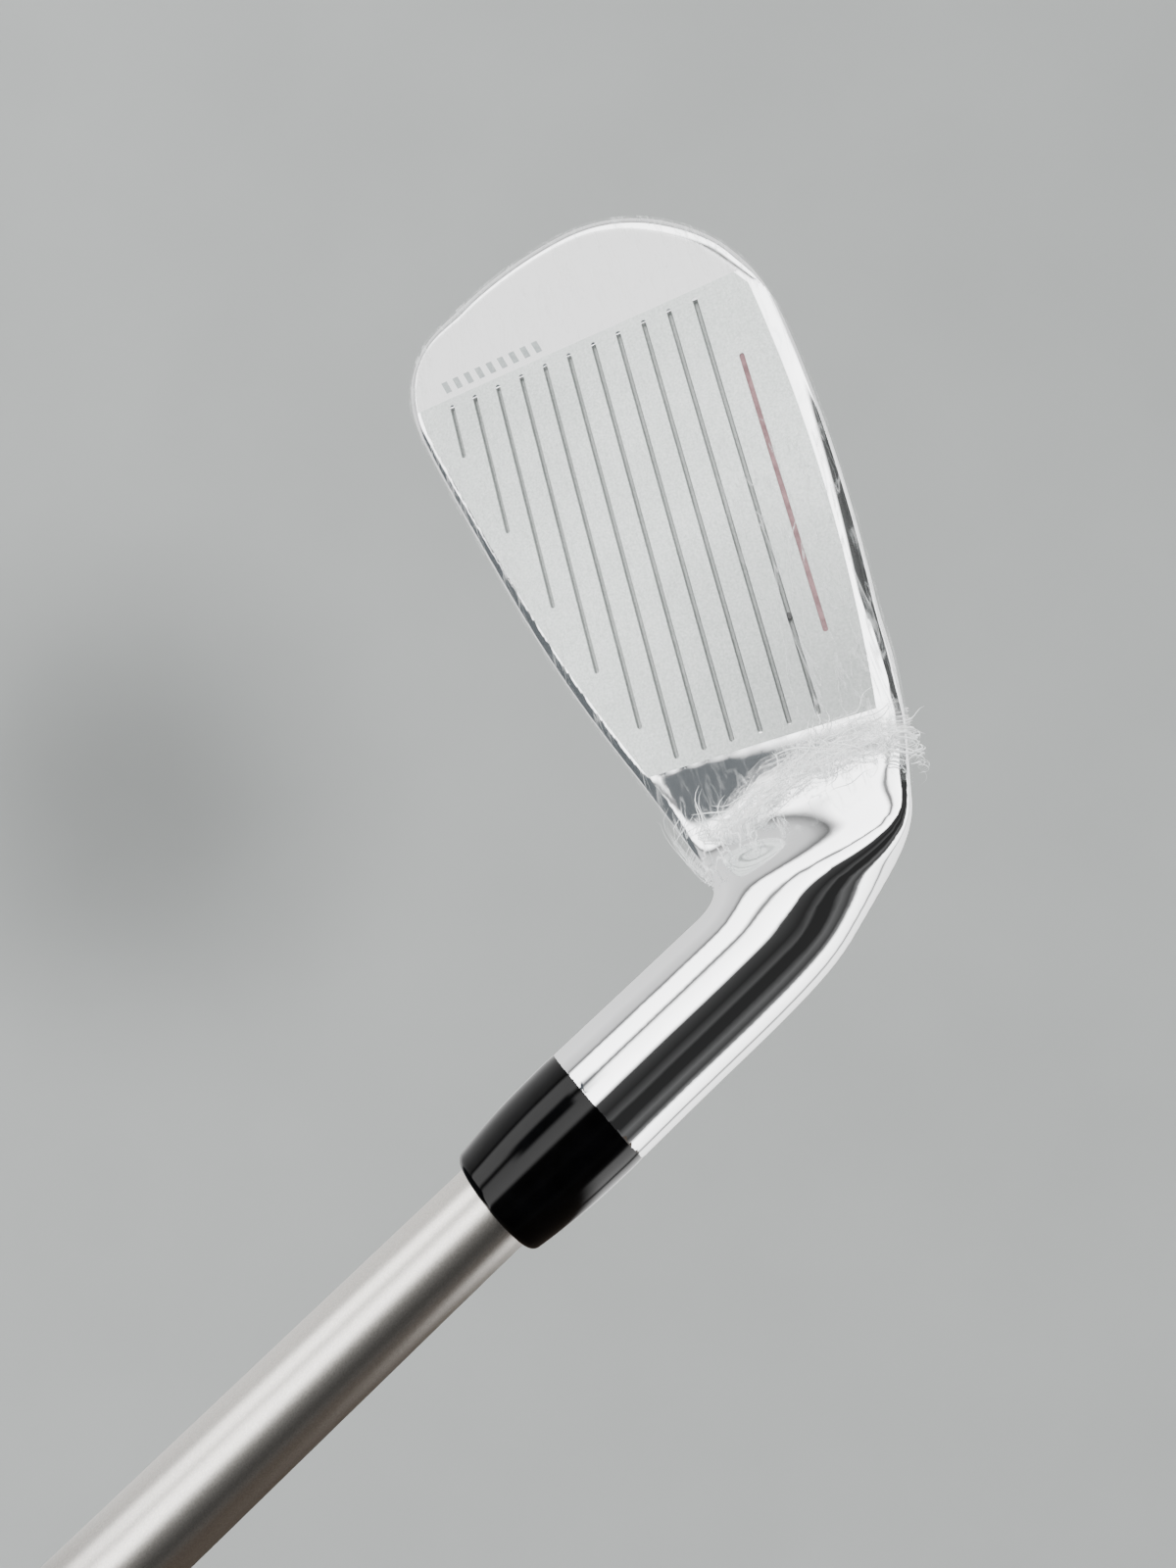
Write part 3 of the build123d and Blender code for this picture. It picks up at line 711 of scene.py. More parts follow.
class CLUB_OT_face(bpy.types.Operator):
    """Cut the hitting face with its score lines and lay the paint in the lowest one"""
    bl_idname = "club.face"
    bl_label = "Hitting face"

    def execute(self, context):
        sizes = context.scene.club_sizes
        width, depth = sizes.line_width / MM, sizes.line_depth / MM
        columns = np.linspace(RUNOUT_X, PARTING_X, 160)
        heights = np.linspace(-2.0, 50.0, 5201)
        top, low = [], []
        for x in columns:
            spot = face_points(np.full_like(heights, x), heights, 0.0)
            flat = ((outline_distance(np.full_like(heights, x), heights) < -edge_radius(x, heights))
                    & (sole_distance(*spot.T)[0] < -LEADING_RADIUS))
            top.append(heights[flat][-1])
            low.append(heights[flat][0])
        outline = list(zip(columns, low)) + list(zip(columns[::-1], top[::-1]))
        count = len(outline)
        front = [face_points(x, u, 0.02) for x, u in outline]
        back = [face_points(x, u, -2.6) for x, u in self.drawn_in(outline)]
        sides = [[(i + 1) % count, i, i + count, (i + 1) % count + count] for i in range(count)]
        faces = [list(range(count)), list(range(2 * count - 1, count - 1, -1))] + sides
        plate = new_piece("hitting_face", np.array(front + back), faces,
                          blasted_material(), "face_satin", "face_plate")
        make_outward(plate)
        cutters = []
        for row in range(sizes.line_count + 1):
            up = TOP_LINE_UP - row * sizes.line_pitch / MM
            heel_x, toe_x = line_ends(up)
            if row == sizes.line_count:
                heel_x, toe_x = PAINTED_HEEL_X, PAINTED_TOE_X
            cutters.append(bar_shape(heel_x, toe_x, up, width, -depth, 0.5))
        points = np.vstack([c[0] for c in cutters])
        faces, base = [], 0
        for c in cutters:
            faces += [[i + base for i in f] for f in c[1]]
            base += len(c[0])
        mesh = bpy.data.meshes.new("line cutters")
        mesh.from_pydata((points * MM).tolist(), [], faces)
        cutter = bpy.data.objects.new("line_cutters", mesh)
        context.collection.objects.link(cutter)
        make_outward(cutter)
        select_only(plate)
        cut = plate.modifiers.new("score lines", "BOOLEAN")
        cut.operation, cut.solver, cut.object = "DIFFERENCE", "EXACT", cutter
        bpy.ops.object.modifier_apply(modifier=cut.name)
        bpy.data.objects.remove(cutter)
        bpy.ops.object.shade_smooth_by_angle(angle=math.radians(22.0))
        paint_up = TOP_LINE_UP - sizes.line_count * sizes.line_pitch / MM
        paint = bar_shape(PAINTED_HEEL_X + 0.05, PAINTED_TOE_X - 0.05, paint_up, width - 0.03,
                          -depth + 0.01, -0.10)
        # Brushed-in enamel: a dull maroon with a soft gloss, paler where it is thin.
        finish = grained_material("score line enamel", "#6B3A40", "#94666A", 1.111, 0.35)
        stripe = new_piece("line_paint", paint[0], paint[1], finish, "score_paint", "score_line_paint")
        make_outward(stripe)
        return {"FINISHED"}

    def drawn_in(self, outline):
        """The outline drawn in a little, so that the plate's sides sink into the body."""
        middle = np.array(outline).mean(axis=0)
        return [tuple(middle + (np.array(p) - middle) * 0.93) for p in outline]


class CLUB_OT_fittings(bpy.types.Operator):
    """Finish the inlays, the ferrule, the shaft and the hidden parts"""
    bl_idname = "club.fittings"
    bl_label = "Fittings"

    def execute(self, context):
        # Polished cellulose acetate: deep black with one thin glint along it.
        ferrule = grained_material("ferrule plastic", "#020202", "#050506", 2.5, 0.09, bump_strength=0.0)
        ferrule.node_tree.nodes["Principled BSDF"].inputs["Specular IOR Level"].default_value = 0.14
        self.ferrule(ferrule)
        # Sprayed metallic lacquer: a broad soft sheen with a sparkle too fine to resolve.
        paint = grained_material("silver shaft paint", "#C4C0BA", "#D8D4CE", 0.1538, 0.32, 1.0, 0.05)
        smooth_copy("shaft", "shaft_tube", paint, "shaft_silver")
        # Anodised aluminium: even mid grey with a dull metal sheen.
        badge = grained_material("anodised badge", "#6E7074", "#8A8C90", 1.667, 0.35, 1.0)
        smooth_copy("cavity_badge", "badge", badge, "badge_aluminium")
        # Moulded rubber: near black and matt, with a fine tooth.
        rubber = grained_material("moulded rubber", "#0E0E0F", "#1A1A1B", 1.429, 0.62)
        smooth_copy("cavity_damper", "damper", rubber, "damper_rubber")
        self.grip(rubber)
        # Cured epoxy: amber and slightly glossy.
        epoxy = grained_material("cured epoxy", "#8A7A4C", "#A59562", 3.333, 0.3)
        smooth_copy("shaft_bond", "bond_sleeve", epoxy, "bond_epoxy")
        # Turned brass: warm yellow metal.
        brass = grained_material("turned brass", "#A5803A", "#C69C52", 2.0, 0.3, 1.0)
        smooth_copy("tip_plug", "weight_plug", brass, "plug_brass")
        # Creped paper tape: buff and matt.
        tape = grained_material("paper tape", "#B8AE98", "#CFC6B0", 1.25, 0.8)
        smooth_copy("grip_tape", "tape_layer", tape, "tape_paper")
        return {"FINISHED"}

    def ferrule(self, material):
        """A tapered collar with rounded ends that just laps the hosel's rim."""
        low, high = HOSEL_TOP - 0.35, HOSEL_TOP + 13.6
        outside = [(6.78, low), (6.80, low + 0.3), (6.79, low + 3.0), (6.72, low + 5.5), (6.52, low + 8.5),
                   (6.22, low + 11.2), (5.98, high - 1.0)]
        rounding = [(5.08 + 0.88 * math.cos(t), high - 0.9 + 0.9 * math.sin(t))
                    for t in np.linspace(0.15, math.pi / 2.0, 9)]
        curve = curve_through([(r, s_at, 0.0) for r, s_at in outside], 26)[:, :2].tolist()
        points, faces = closed_ring(curve + rounding + [(4.75, high), (4.75, low + 0.4)], 96)
        ring = new_piece("ferrule_ring", points, faces, material, "ferrule_plastic", "ferrule")
        make_outward(ring)
        bpy.ops.object.shade_smooth_by_angle(angle=math.radians(40.0))

    def grip(self, material):
        """A moulded sleeve with rows of raised lozenges between plain rings, and its domed cap."""
        mouth, end = CLUB_LENGTH - 267.0, CLUB_LENGTH - 5.0

        def lozenges(station, turn, radius):
            along = (station - mouth) / 5.2
            round_share = turn * 22.0 / math.tau
            row = np.floor(along)
            across = (round_share + 0.5 * (row % 2)) % 1.0 - 0.5
            rise = 0.42 - np.abs(across) * 0.9 - np.abs(along % 1.0 - 0.5) * 0.9
            height = np.clip(rise, 0.0, 0.2) / 0.2
            inside = (radius > 8.0) * (station > mouth + 14.0) * (station < end - 16.0)
            plain = np.abs((station - mouth) % 62.0 - 31.0) < 3.0
            return np.where(inside > 0, np.where(plain, -0.25, 0.32 * height - 0.2), 0.0)

        stations = np.linspace(mouth + 0.8, end, 420)
        share = (stations - mouth) / (end - mouth)
        outer = [(9.2 + 4.0 * s_at ** 1.25, st) for s_at, st in zip(share, stations)]
        inner = [(7.75, end), (7.75, end - 120.0), (7.3, mouth + 0.4)]
        profile = [(8.0, mouth), (8.9, mouth + 0.15)] + outer + inner
        points, faces = closed_ring(profile, 132, lozenges)
        sleeve = new_piece("grip_sleeve", points, faces, material, "grip_rubber", "grip")
        make_outward(sleeve)
        bpy.ops.object.shade_smooth_by_angle(angle=math.radians(50.0))
        dome = [(13.2 - 1.6 * (1.0 - math.cos(t)), CLUB_LENGTH - 1.6 + 1.6 * math.sin(t))
                for t in np.linspace(0.0, math.pi / 2.0, 9)]
        groove = [(9.6, CLUB_LENGTH), (9.3, CLUB_LENGTH - 0.4), (8.9, CLUB_LENGTH - 0.4), (8.6, CLUB_LENGTH)]
        profile = [(13.2, end), (13.2, end + 1.2)] + dome + groove
        profile += [(1.5, CLUB_LENGTH), (1.25, CLUB_LENGTH - 0.25), (1.25, end)]
        points, faces = closed_ring(profile, 96)
        cap = new_piece("grip_end", points, faces, material, "grip_rubber", "grip_cap")
        make_outward(cap)
        bpy.ops.object.shade_smooth_by_angle(angle=math.radians(40.0))


# ---- shrink film -----------------------------------------------------------------

FILM_GAP, FILM_STEP = 0.30, 0.7
BUNCH_WIDTH = 3.2

# The gathered ridge of the film over the heel, as (toward the toe, up the face).
GATHER_RIDGE = [(-5.6, 26.0), (-3.9, 23.1), (-0.6, 18.6), (2.7, 14.4), (4.6, 9.0), (5.0, 3.6)]


def film_distance(points):
    """Distance off the taut film, which bridges the cavity."""
    return solid_distance(points) - FILM_GAP


def ridge_gap(x, up):
    """How far a place on the face is from the gathered ridge, in millimetres."""
    ridge = np.array(GATHER_RIDGE)
    nearest = np.full(len(x), 1e9)
    for start, end in zip(ridge[:-1], ridge[1:]):
        run = end - start
        share = np.clip(((x - start[0]) * run[0] + (up - start[1]) * run[1]) / (run @ run), 0.0, 1.0)
        gap = np.hypot(x - start[0] - share * run[0], up - start[1] - share * run[1])
        nearest = np.minimum(nearest, gap)
    return nearest


def film_material():
    """Clear shrink film: all but unseen, whitened where it is creased and gathered; the white streaks also
    stand for the glints on its folds (painted highlight).
    """
    material, tree, shader = new_material("clear shrink film", {
        "Base Color": linear("#F4F7F7"), "Roughness": 0.16})
    where = object_coordinates(tree)
    crease = add_node(tree, "ShaderNodeAttribute", {"attribute_name": "crease"})
    turned = add_node(tree, "ShaderNodeMapping", inputs={
        "Vector": where, "Rotation": (0.0, math.radians(-24.0), 0.0), "Scale": (90.0, 300.0, 620.0)})
    streaks = add_node(tree, "ShaderNodeTexNoise", inputs={
        "Vector": turned.outputs[0], "Scale": 1.0, "Detail": 3.0, "Distortion": 0.8})
    centred = add_node(tree, "ShaderNodeMath", {"operation": "SUBTRACT"}, {
        0: streaks.outputs["Fac"], 1: 0.5})
    away = add_node(tree, "ShaderNodeMath", {"operation": "ABSOLUTE"}, {0: centred.outputs[0]})
    thin = add_node(tree, "ShaderNodeMapRange", inputs={
        "Value": away.outputs[0], "From Min": 0.0, "From Max": 0.030, "To Min": 1.0, "To Max": 0.0})
    strength = add_node(tree, "ShaderNodeMath", {"operation": "MULTIPLY"}, {
        0: thin.outputs[0], 1: crease.outputs["Fac"]})
    # Partly painted highlight: the opaque white streaks along the creases stand for glints as well as for
    # whitened film.
    alpha = add_node(tree, "ShaderNodeMapRange", inputs={
        "Value": strength.outputs[0], "To Min": 0.035, "To Max": 0.85})
    tree.links.new(alpha.outputs[0], shader.inputs["Alpha"])
    bump = add_node(tree, "ShaderNodeBump", inputs={
        "Height": streaks.outputs["Fac"], "Strength": 0.5, "Distance": 0.0002})
    tree.links.new(bump.outputs["Normal"], shader.inputs["Normal"])
    return material


def fine_grid(grid, times):
    """A grid of points with straight steps in between, in both directions."""
    for axis in (0, 1):
        count = grid.shape[axis]
        place = np.linspace(0.0, count - 1.0, (count - 1) * times + 1)
        low = np.minimum(place.astype(int), count - 2)
        share = (place - low).reshape((-1, 1, 1) if axis == 0 else (1, -1, 1))
        grid = np.take(grid, low, axis) * (1.0 - share) + np.take(grid, low + 1, axis) * share
    return grid


class CLUB_OT_film(bpy.types.Operator):
    """Shrink clear film on the blade, gather it at the heel and fray its end"""
    bl_idname = "club.film"
    bl_label = "Shrink film"

    def execute(self, context):
        points, faces = skin(film_distance, (-16.0, -9.5, -3.0), (86.0, 24.0, 54.0), FILM_STEP)
        points, normals = settle(film_distance, points)
        x, up, out = face_places(points)
        ripple = np.array([noise.noise(Vector((a * 0.35, b * 0.9, c * 0.35))) for a, b, c in points])
        fine = np.array([noise.noise(Vector((a * 0.7, b * 1.6, c * 1.9))) for a, b, c in points])
        bunch = np.exp(-(ridge_gap(x, up) / BUNCH_WIDTH) ** 2) * (out > -8.0)
        low_face = ease((14.0 - up) / 6.0) * ease((x - 6.0) / 6.0) * ease((50.0 - x) / 12.0)
        rim = ease((outline_distance(x, up) + 4.0) / 3.0) * 0.35
        # The crease weight whitens the film, in part as a painted highlight on its folds.
        crease = 0.07 + bunch * 1.0 + low_face * 0.42 + rim + 0.06 * ease((x - 66.0) / 6.0)
        crease = np.clip(crease, 0.0, 1.0)
        lift = 0.05 * ripple + bunch * (0.55 + 0.9 * np.abs(fine) + 0.35 * ripple)
        points = points + normals * lift[:, None]
        end = -1.0 - 5.0 * np.clip((up - 3.0) / 24.0, 0.0, 1.2) + 0.8 * ripple
        kept = (x > end)[faces].all(axis=1)
        faces = faces[kept]
        used = np.unique(faces)
        number = np.full(len(points), -1)
        number[used] = np.arange(len(used))
        film = new_piece("blade_film", points[used], number[faces], film_material(),
                         "film_clear", "head_film")
        film.data.shade_smooth()
        marks = film.data.attributes.new("crease", "FLOAT", "POINT")
        marks.data.foreach_set("value", crease[used].astype(np.float32))
        self.gather()
        self.fray()
        return {"FINISHED"}

    def gather(self):
        """The crumpled bunch of film along the ridge, folded finely and whitened on its folds."""
        coarse, detail = (49, 17), 5
        ridge = curve_through([(x, up, 0.0) for x, up in GATHER_RIDGE + [(4.6, -0.4)]], coarse[0])[:, :2]
        course = np.gradient(ridge, axis=0)
        course /= np.linalg.norm(course, axis=1)[:, None]
        toward_toe = np.stack([-course[:, 1], course[:, 0]], axis=1)
        spread = np.linspace(-3.4, 4.4, coarse[1])
        place = ridge[:, None] + toward_toe[:, None] * spread[None, :, None]
        start = face_points(place[..., 0].ravel(), np.maximum(place[..., 1].ravel(), -1.0), 0.5)
        base, normals = settle(film_distance, start, 8)
        base = fine_grid(base.reshape(*coarse, 3), detail)
        normals = fine_grid(normals.reshape(*coarse, 3), detail)
        rows, columns = base.shape[:2]
        along, side = np.meshgrid(np.linspace(0.0, 30.0, rows), np.linspace(-1.0, 1.0, columns),
                                  indexing="ij")
        folds, tufts = np.zeros((rows, columns)), np.zeros((rows, columns))
        for i in range(rows):
            for j in range(columns):
                a, b = along[i, j], side[i, j] * 4.0
                drift = noise.noise(Vector((a * 0.25, b * 0.3, 3.0))) * 1.6
                folds[i, j] = noise.noise(Vector((a * 0.42 + b * 0.5, (b + drift) * 1.9, 0.0)))
                tufts[i, j] = noise.noise(Vector((a * 1.5, b * 2.6 + drift, 7.0)))
        ridged = np.clip(1.0 - 3.4 * np.abs(folds), 0.0, 1.0) ** 1.4
        crest = np.clip(1.0 - 3.2 * np.abs(tufts), 0.0, 1.0) ** 2.0
        edge = np.clip(1.0 - side ** 2, 0.0, 1.0)
        lift = edge ** 0.7 * (0.15 + 0.85 * ridged + 0.25 * crest)
        points = (base + normals * lift[..., None]).reshape(-1, 3)
        core = np.exp(-((side + 0.05) / 0.42) ** 2)
        white = edge ** 0.5 * (0.05 + 0.30 * core + 0.80 * ridged ** 2.0 + 0.35 * crest ** 1.5)
        white = np.clip(white, 0.0, 0.95) * (0.55 + 0.45 * edge)
        faces = [(i * columns + j, (i + 1) * columns + j, (i + 1) * columns + j + 1, i * columns + j + 1)
                 for i in range(rows - 1) for j in range(columns - 1)]
        # Crumpled film: clear between its folds and milky white along them, with a painted glow (emission)
        # over it.
        material, tree, shader = new_material("gathered film", {
            "Base Color": linear("#FFFFFF"), "Roughness": 0.14, "Emission Color": linear("#F4F8F8"),
            "Emission Strength": 0.3})
        mark = add_node(tree, "ShaderNodeAttribute", {"attribute_name": "crease"})
        speck = add_node(tree, "ShaderNodeTexNoise", inputs={
            "Vector": object_coordinates(tree), "Scale": scale_for(0.5556), "Detail": 2.0})
        vary = add_node(tree, "ShaderNodeMapRange", inputs={
            "Value": speck.outputs["Fac"], "From Min": 0.3, "From Max": 0.7, "To Min": 0.8, "To Max": 1.05})
        alpha = add_node(tree, "ShaderNodeMath", {"operation": "MULTIPLY"}, {
            0: mark.outputs["Fac"], 1: vary.outputs[0]})
        tree.links.new(alpha.outputs[0], shader.inputs["Alpha"])
        bunch = new_piece("film_gather", points, faces, material, "film_clear")
        bunch.data.shade_smooth()
        marks = bunch.data.attributes.new("crease", "FLOAT", "POINT")
        marks.data.foreach_set("value", white.ravel().astype(np.float32))

    def fray(self):
        """Threads of torn, twisted film over the gathered ridge and at the sole's end."""
        chance = random.Random(7)
        ridge = curve_through([(x, up, 0.0) for x, up in GATHER_RIDGE], 101)[:, :2]
        paths, heights, widths = [], [], []
        steps = np.linspace(0.0, 1.0, 11)
        for index in range(150):
            tuft = index >= 110
            if tuft:
                start = np.array([chance.uniform(1.2, 5.5), chance.uniform(0.5, 3.0)])
                aim = math.radians(chance.gauss(-90.0, 45.0))
                length = chance.uniform(1.0, 2.2)
            else:
                place = int(98 * chance.random() ** 0.8)
                spot = ridge[place]
                course = math.degrees(math.atan2(*(ridge[place + 2] - spot)[::-1]))
                start = spot + np.array([chance.gauss(0.0, 1.3), chance.gauss(0.0, 1.1)])
                if index % 4 == 0:
                    start = np.array([chance.uniform(-5.5, -3.0), chance.uniform(23.0, 26.5)])
                    aim = math.radians(chance.uniform(-10.0, 45.0))
                    length = chance.uniform(5.0, 10.0)
                elif chance.random() < 0.6:
                    back = 180.0 * (place > 25 and chance.random() < 0.5)
                    aim = math.radians(course + chance.gauss(0.0, 14.0) + back)
                    length = chance.uniform(3.5, 8.0)
                else:
                    aim = math.radians(course + 90.0 + chance.gauss(0.0, 22.0))
                    length = chance.uniform(1.5, 4.0)
            bend = chance.uniform(-0.7, 0.7) if not tuft else chance.uniform(-3.2, 3.2)
            wave = chance.uniform(0.1, 0.5)
            phase = chance.uniform(0.0, 6.3)
            turn = aim + bend * steps + wave * np.sin(steps * 9.0 + phase)
            run = np.stack([np.cos(turn), np.sin(turn)], axis=1) * (length / 10.0)
            paths.append(start + np.cumsum(run, axis=0) - run[0])
            top = chance.uniform(0.3, 1.1) if not tuft else chance.uniform(0.5, 1.6)
            heights.append(0.25 + top * np.sin(np.pi * np.clip(steps * 0.8 + 0.1, 0.0, 1.0)))
            taper = np.sin(np.pi * np.clip(steps * 0.9 + 0.07, 0.0, 1.0))
            widths.append(chance.uniform(0.03, 0.09 if tuft else 0.06) * taper)
        path = np.array(paths)
        count, rows = path.shape[:2]
        flat = path.reshape(-1, 2)
        wrapped = face_points(flat[:, 0], np.maximum(flat[:, 1], 0.2), 0.5)
        beyond = np.minimum(flat[:, 1] - 0.2, 0.0)
        base, normals = settle(film_distance, wrapped, 10)
        centres = (base + normals * np.array(heights).reshape(-1, 1)
                   - FACE_UP * (-beyond[:, None]) * 0.8).reshape(count, rows, 3)
        along = np.gradient(centres, axis=1)
        along /= np.linalg.norm(along, axis=2)[..., None]
        normals = normals.reshape(count, rows, 3)
        side = np.cross(along, normals)
        side /= np.linalg.norm(side, axis=2)[..., None]
        wide = np.array(widths)[..., None]
        corners = [centres + side * wide * 1.6, centres + normals * wide * 0.5, centres - side * wide * 1.6]
        ring = np.stack(corners, axis=2).reshape(-1, 3)
        faces = []
        for thread in range(count):
            base_row = thread * rows * 3
            for row in range(rows - 1):
                a = base_row + row * 3
                for k in range(3):
                    n = (k + 1) % 3
                    faces.append((a + k, a + n, a + 3 + n, a + 3 + k))
            last = base_row + (rows - 1) * 3
            faces.append((base_row + 2, base_row + 1, base_row))
            faces.append((last, last + 1, last + 2))
        # Stressed film: milky white, with a painted glow (emission) that makes it brighter than its shade.
        white = grained_material("whitened film", "#F6F9F9", "#FFFFFF", 0.6667, 0.25, 0.0, 0.05)
        shader = white.node_tree.nodes["Principled BSDF"]
        # Painted glow: the threads give out light though they are no lamp.
        shader.inputs["Emission Color"].default_value = linear("#F4F8F8")
        shader.inputs["Emission Strength"].default_value = 0.5
        shader.inputs["Alpha"].default_value = 0.7
        threads = new_piece("film_threads", ring, faces, white, "film_clear")
        make_outward(threads)
        threads.data.shade_smooth()


class CLUB_OT_marks(bpy.types.Operator):
    """Etch a row of plain slanted bars beside the face and add two small dark nicks"""
    bl_idname = "club.marks"
    bl_label = "Marks"

    def execute(self, context):
        points, faces = [], []
        for index in range(9):
            up = 28.6 + index * 1.66
            corners = [(66.4, up), (66.4, up + 0.8), (68.1, up + 1.25), (68.1, up + 0.45)]
            base = len(points)
            points += [face_points(x, u, out) for out in (0.02, -0.1) for x, u in corners]
            faces += [(base, base + 1, base + 2, base + 3), (base + 7, base + 6, base + 5, base + 4)]
            for k in range(4):
                n = base + (k + 1) % 4
                faces.append((base + k, n, n + 4, base + k + 4))
        # Etched steel: a shade greyer and duller than the satin round it.
        etched = grained_material("etched steel", "#8C9393", "#A5ABAB", 0.4, 0.5, 0.6)
        bars = new_piece("toe_bars", np.array(points), faces, etched)
        make_outward(bars)
        # Dirt in a nick: almost black and dull.
        dark = grained_material("dark nick", "#050505", "#121212", 0.3333, 0.5)
        points, faces = [], []
        for x, up, long, wide in ((22.0, 8.4, 0.5, 0.3), (-7.2, 15.0, 0.28, 0.16)):
            start, normal = settle(solid_distance, face_points(x, up, 2.0)[None], 12)
            ahead = np.cross(normal[0], FACE_UP)
            ahead /= np.linalg.norm(ahead)
            across = np.cross(normal[0], ahead)
            base = len(points)
            for ring, height in ((1.0, 0.0), (0.7, 0.06)):
                for k in range(12):
                    turn = math.tau * k / 12
                    wobble = 1.0 + 0.15 * math.sin(3.0 * turn + x)
                    points.append(start[0] + normal[0] * height + ring * wobble * (
                        ahead * long * math.cos(turn) + across * wide * math.sin(turn)))
            for k in range(12):
                n = base + (k + 1) % 12
                faces.append((base + k, n, n + 12, base + 12 + k))
            faces += [tuple(range(base + 12, base + 24)), tuple(range(base + 11, base - 1, -1))]
        nicks = new_piece("nicks", np.array(points), faces, dark)
        make_outward(nicks)
        return {"FINISHED"}


# ---- stage -----------------------------------------------------------------------

CAMERA_PLACE = Vector((-0.012104, -0.105415, 0.049192))
CAMERA_AHEAD = Vector((0.18665, 0.97795, -0.09372))
CAMERA_UP = Vector((0.95330, -0.20335, -0.22331))
BACKDROP_AWAY = 1.6

# The room's light round the shaft's axis, as (place across the shaft, brightness).
LIGHT_BANDS = [
    (-1.00, 0.55), (-0.88, 0.6), (-0.76, 0.42), (-0.72, 0.03), (-0.69, 2.1), (-0.52, 2.3),
    (-0.475, 0.14), (-0.45, 0.14), (-0.41, 2.0), (-0.18, 2.6), (-0.13, 0.03), (0.05, 0.012),
    (0.16, 0.04), (0.20, 0.012), (0.36, 0.012), (0.45, 0.06), (0.55, 0.025), (0.61, 0.12), (0.65, 2.0),
    (0.80, 1.4), (0.83, 0.05), (0.86, 1.1), (1.00, 0.7)]
LIGHT_STRENGTH = 2.6

# What the camera sees past the stage's paper.
BACKDROP_GREY = (0.42, 0.425, 0.425, 1.0)

# Dark things standing in the room, each as (climb along the shaft, darkness) stops, then
# (angle round the shaft in degrees, darkness) stops, then its colour.
COOL_DARK, WARM_DARK = (0.035, 0.04, 0.045, 1.0), (0.042, 0.034, 0.028, 1.0)
DARK_PLACES = [
    ([(0.00, 0), (0.06, 1), (0.27, 1), (0.32, 0)], [(-66, 0), (-60, 1), (-45, 1), (-39, 0)], COOL_DARK),
    ([(0.53, 0), (0.59, 1)], [(-180, 1), (-50, 1), (-44, 0)], COOL_DARK),
    ([(0.10, 0), (0.17, 1)], [(55, 0), (61, 1)], WARM_DARK)]


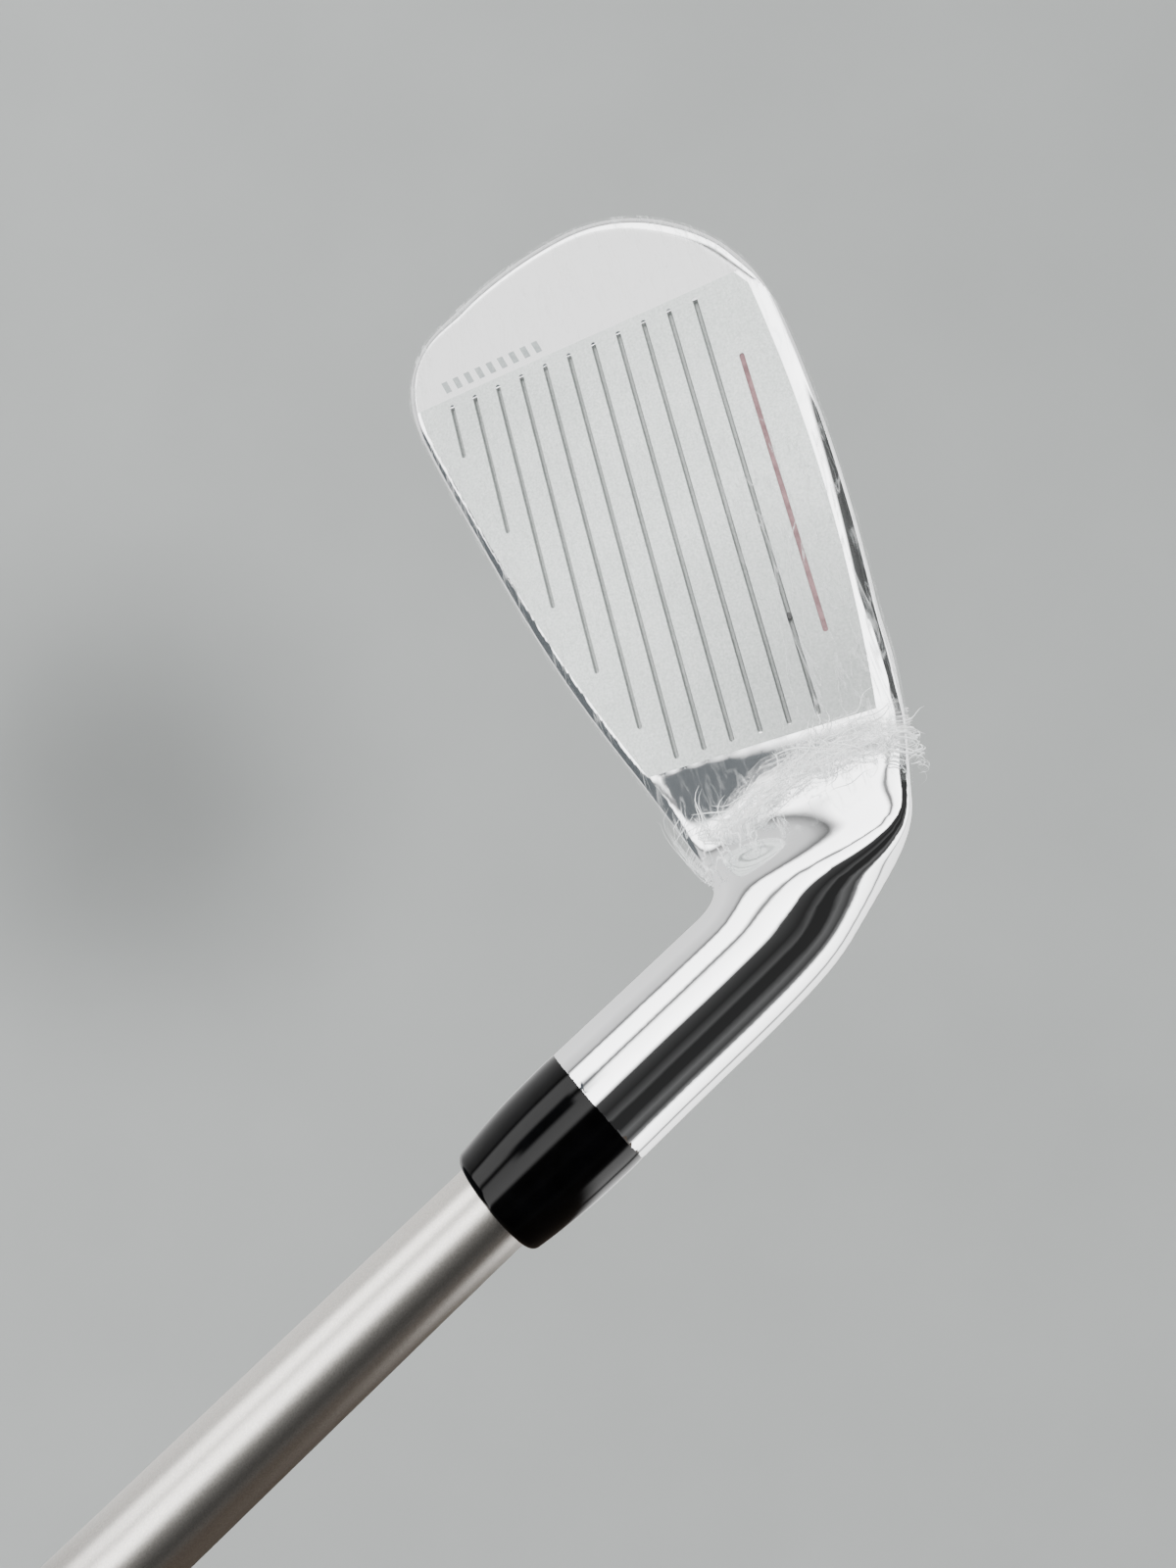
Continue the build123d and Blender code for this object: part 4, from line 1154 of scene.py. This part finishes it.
class CLUB_OT_stage(bpy.types.Operator):
    """Set the backdrop, the floor, the soft studio light and the camera"""
    bl_idname = "club.stage"
    bl_label = "Studio"

    def execute(self, context):
        camera = bpy.data.cameras.new("studio_camera")
        camera.lens = context.scene.club_sizes.camera_lens
        camera.sensor_width = 36.0
        camera.clip_start = 0.005
        camera.clip_end = 50.0
        holder = bpy.data.objects.new("studio_camera", camera)
        context.collection.objects.link(holder)
        ahead = CAMERA_AHEAD.normalized()
        right = ahead.cross(CAMERA_UP).normalized()
        up = right.cross(ahead)
        turn = Matrix((right, up, -ahead)).transposed().to_4x4()
        holder.matrix_world = Matrix.Translation(CAMERA_PLACE) @ turn
        context.scene.camera = holder

        paper, tree, shader = new_material("backdrop paper", {"Roughness": 0.9, "Specular IOR Level": 0.1})
        # The paper carries a painted shadow round a place to the left of the view.
        self.paint_paper_shadow(tree, shader, context.scene.club_colours.backdrop[:] + (1.0,),
                         CAMERA_PLACE + (ahead - right * 0.47 - up * 0.02) * BACKDROP_AWAY)
        wall = self.sheet("stage_backdrop", 6.0, paper)
        wall.data.transform(Matrix.Translation(CAMERA_PLACE + ahead * BACKDROP_AWAY) @ turn)
        floor = self.sheet("stage_floor", 8.0, paper)
        floor.data.transform(Matrix.Translation((0.0, 0.0, -1.6)))
        self.light_room(context, ahead)
        return {"FINISHED"}

    def paint_paper_shadow(self, tree, shader, colour, painted_shadow_place):
        """Paper with a painted shadow round one place, and a faint mottle."""
        where = object_coordinates(tree)
        gap = add_node(tree, "ShaderNodeVectorMath", {"operation": "DISTANCE"}, {0: where, 1: painted_shadow_place})
        # Painted shadow: the paper darkens to 0.58 of its colour near the shadow's place.
        painted_shadow_fade = add_node(tree, "ShaderNodeMapRange", {"interpolation_type": "SMOOTHSTEP"}, {
            "Value": gap.outputs["Value"], "From Min": 0.02, "From Max": 0.55,
            "To Min": 0.58, "To Max": 1.0})
        mottle = add_node(tree, "ShaderNodeTexNoise", inputs={"Vector": where, "Scale": 3.0, "Detail": 5.0})
        light = add_node(tree, "ShaderNodeMapRange", inputs={
            "Value": mottle.outputs["Fac"], "To Min": 0.92, "To Max": 1.08})
        both = add_node(tree, "ShaderNodeMath", {"operation": "MULTIPLY"}, {
            0: painted_shadow_fade.outputs[0], 1: light.outputs[0]})
        tone = add_node(tree, "ShaderNodeMix", {"data_type": "RGBA", "blend_type": "MULTIPLY"}, {
            0: 1.0, 6: colour})
        tree.links.new(both.outputs[0], tone.inputs[7])
        tree.links.new(tone.outputs[2], shader.inputs["Base Color"])

    def sheet(self, name, size, paper):
        bpy.ops.object.select_all(action="DESELECT")
        bpy.ops.mesh.primitive_plane_add(size=size)
        piece = bpy.context.object
        piece.name = name
        piece.data.materials.append(paper)
        piece.visible_glossy = False
        return piece

    def ramp(self, tree, value, stops):
        """A ramp of grey values along (place, value) stops."""
        node = add_node(tree, "ShaderNodeValToRGB", inputs={"Fac": value})
        node.color_ramp.elements.remove(node.color_ramp.elements[-1])
        for i, (place, grey) in enumerate(stops):
            element = node.color_ramp.elements[0] if i == 0 else node.color_ramp.elements.new(place)
            element.position = place
            element.color = (grey, grey, grey, 1.0)
        return node

    def light_room(self, context, ahead):
        world = bpy.data.worlds.new("studio light")
        context.scene.world = world
        world.use_nodes = True
        tree = world.node_tree
        tree.nodes.clear()
        way = add_node(tree, "ShaderNodeTexCoord").outputs["Generated"]
        axis = Vector(SHAFT_UP)
        front = (-ahead - axis * (-ahead).dot(axis)).normalized()
        across = front.cross(axis).normalized()
        parts = []
        for direction in (across, front):
            part = add_node(tree, "ShaderNodeVectorMath", {"operation": "DOT_PRODUCT"}, {
                0: way, 1: direction})
            parts.append(part.outputs["Value"])
        angle = add_node(tree, "ShaderNodeMath", {"operation": "ARCTAN2"}, {0: parts[0], 1: parts[1]})
        share = add_node(tree, "ShaderNodeMapRange", inputs={
            "Value": angle.outputs[0], "From Min": -math.pi, "From Max": math.pi})
        stops = [(0.5 + math.asin(place) / math.pi, value) for place, value in LIGHT_BANDS]
        shown = self.ramp(tree, share.outputs["Result"], stops).outputs["Color"]
        climb = add_node(tree, "ShaderNodeVectorMath", {"operation": "DOT_PRODUCT"}, {0: way, 1: axis})
        level = add_node(tree, "ShaderNodeMapRange", inputs={
            "Value": climb.outputs["Value"], "From Min": -1.0})
        for climbs, angles, tone in DARK_PLACES:
            high_stops = [(0.5 + place / 2.0, dark) for place, dark in climbs]
            aside_stops = [(0.5 + turn / 360.0, dark) for turn, dark in angles]
            high = self.ramp(tree, level.outputs[0], high_stops)
            aside = self.ramp(tree, share.outputs["Result"], aside_stops)
            both = add_node(tree, "ShaderNodeMath", {"operation": "MULTIPLY"}, {
                0: high.outputs[0], 1: aside.outputs[0]})
            mixed = add_node(tree, "ShaderNodeMix", {"data_type": "RGBA"}, {
                0: both.outputs[0], 6: shown, 7: tone})
            shown = mixed.outputs[2]
        seen = add_node(tree, "ShaderNodeLightPath")
        colour = add_node(tree, "ShaderNodeMix", {"data_type": "RGBA"}, {
            0: seen.outputs["Is Camera Ray"], 6: shown, 7: BACKDROP_GREY})
        light = add_node(tree, "ShaderNodeBackground", inputs={
            "Color": colour.outputs[2], "Strength": LIGHT_STRENGTH})
        add_node(tree, "ShaderNodeOutputWorld", inputs={"Surface": light.outputs[0]})


class CLUB_PT_panel(bpy.types.Panel):
    """Steps that build the club"""
    bl_idname = "CLUB_PT_panel"
    bl_label = "Golf Club"
    bl_space_type = "VIEW_3D"
    bl_region_type = "UI"
    bl_category = "Golf Club"

    def draw(self, context):
        for step in STEPS:
            self.layout.operator(step.bl_idname)


STEPS = (CLUB_OT_head, CLUB_OT_face, CLUB_OT_marks, CLUB_OT_fittings, CLUB_OT_film, CLUB_OT_stage)
CLASSES = (ClubSizes, ClubColours) + STEPS + (CLUB_PT_panel,)


def register():
    for kind in CLASSES:
        bpy.utils.register_class(kind)
    bpy.types.Scene.club_sizes = PointerProperty(type=ClubSizes)
    bpy.types.Scene.club_colours = PointerProperty(type=ClubColours)


def unregister():
    del bpy.types.Scene.club_colours
    del bpy.types.Scene.club_sizes
    for kind in reversed(CLASSES):
        bpy.utils.unregister_class(kind)


def main():
    register()
    bpy.ops.club.head()
    bpy.ops.club.face()
    bpy.ops.club.marks()
    bpy.ops.club.fittings()
    bpy.ops.club.film()
    bpy.ops.club.stage()


if __name__ == "__main__":
    main()
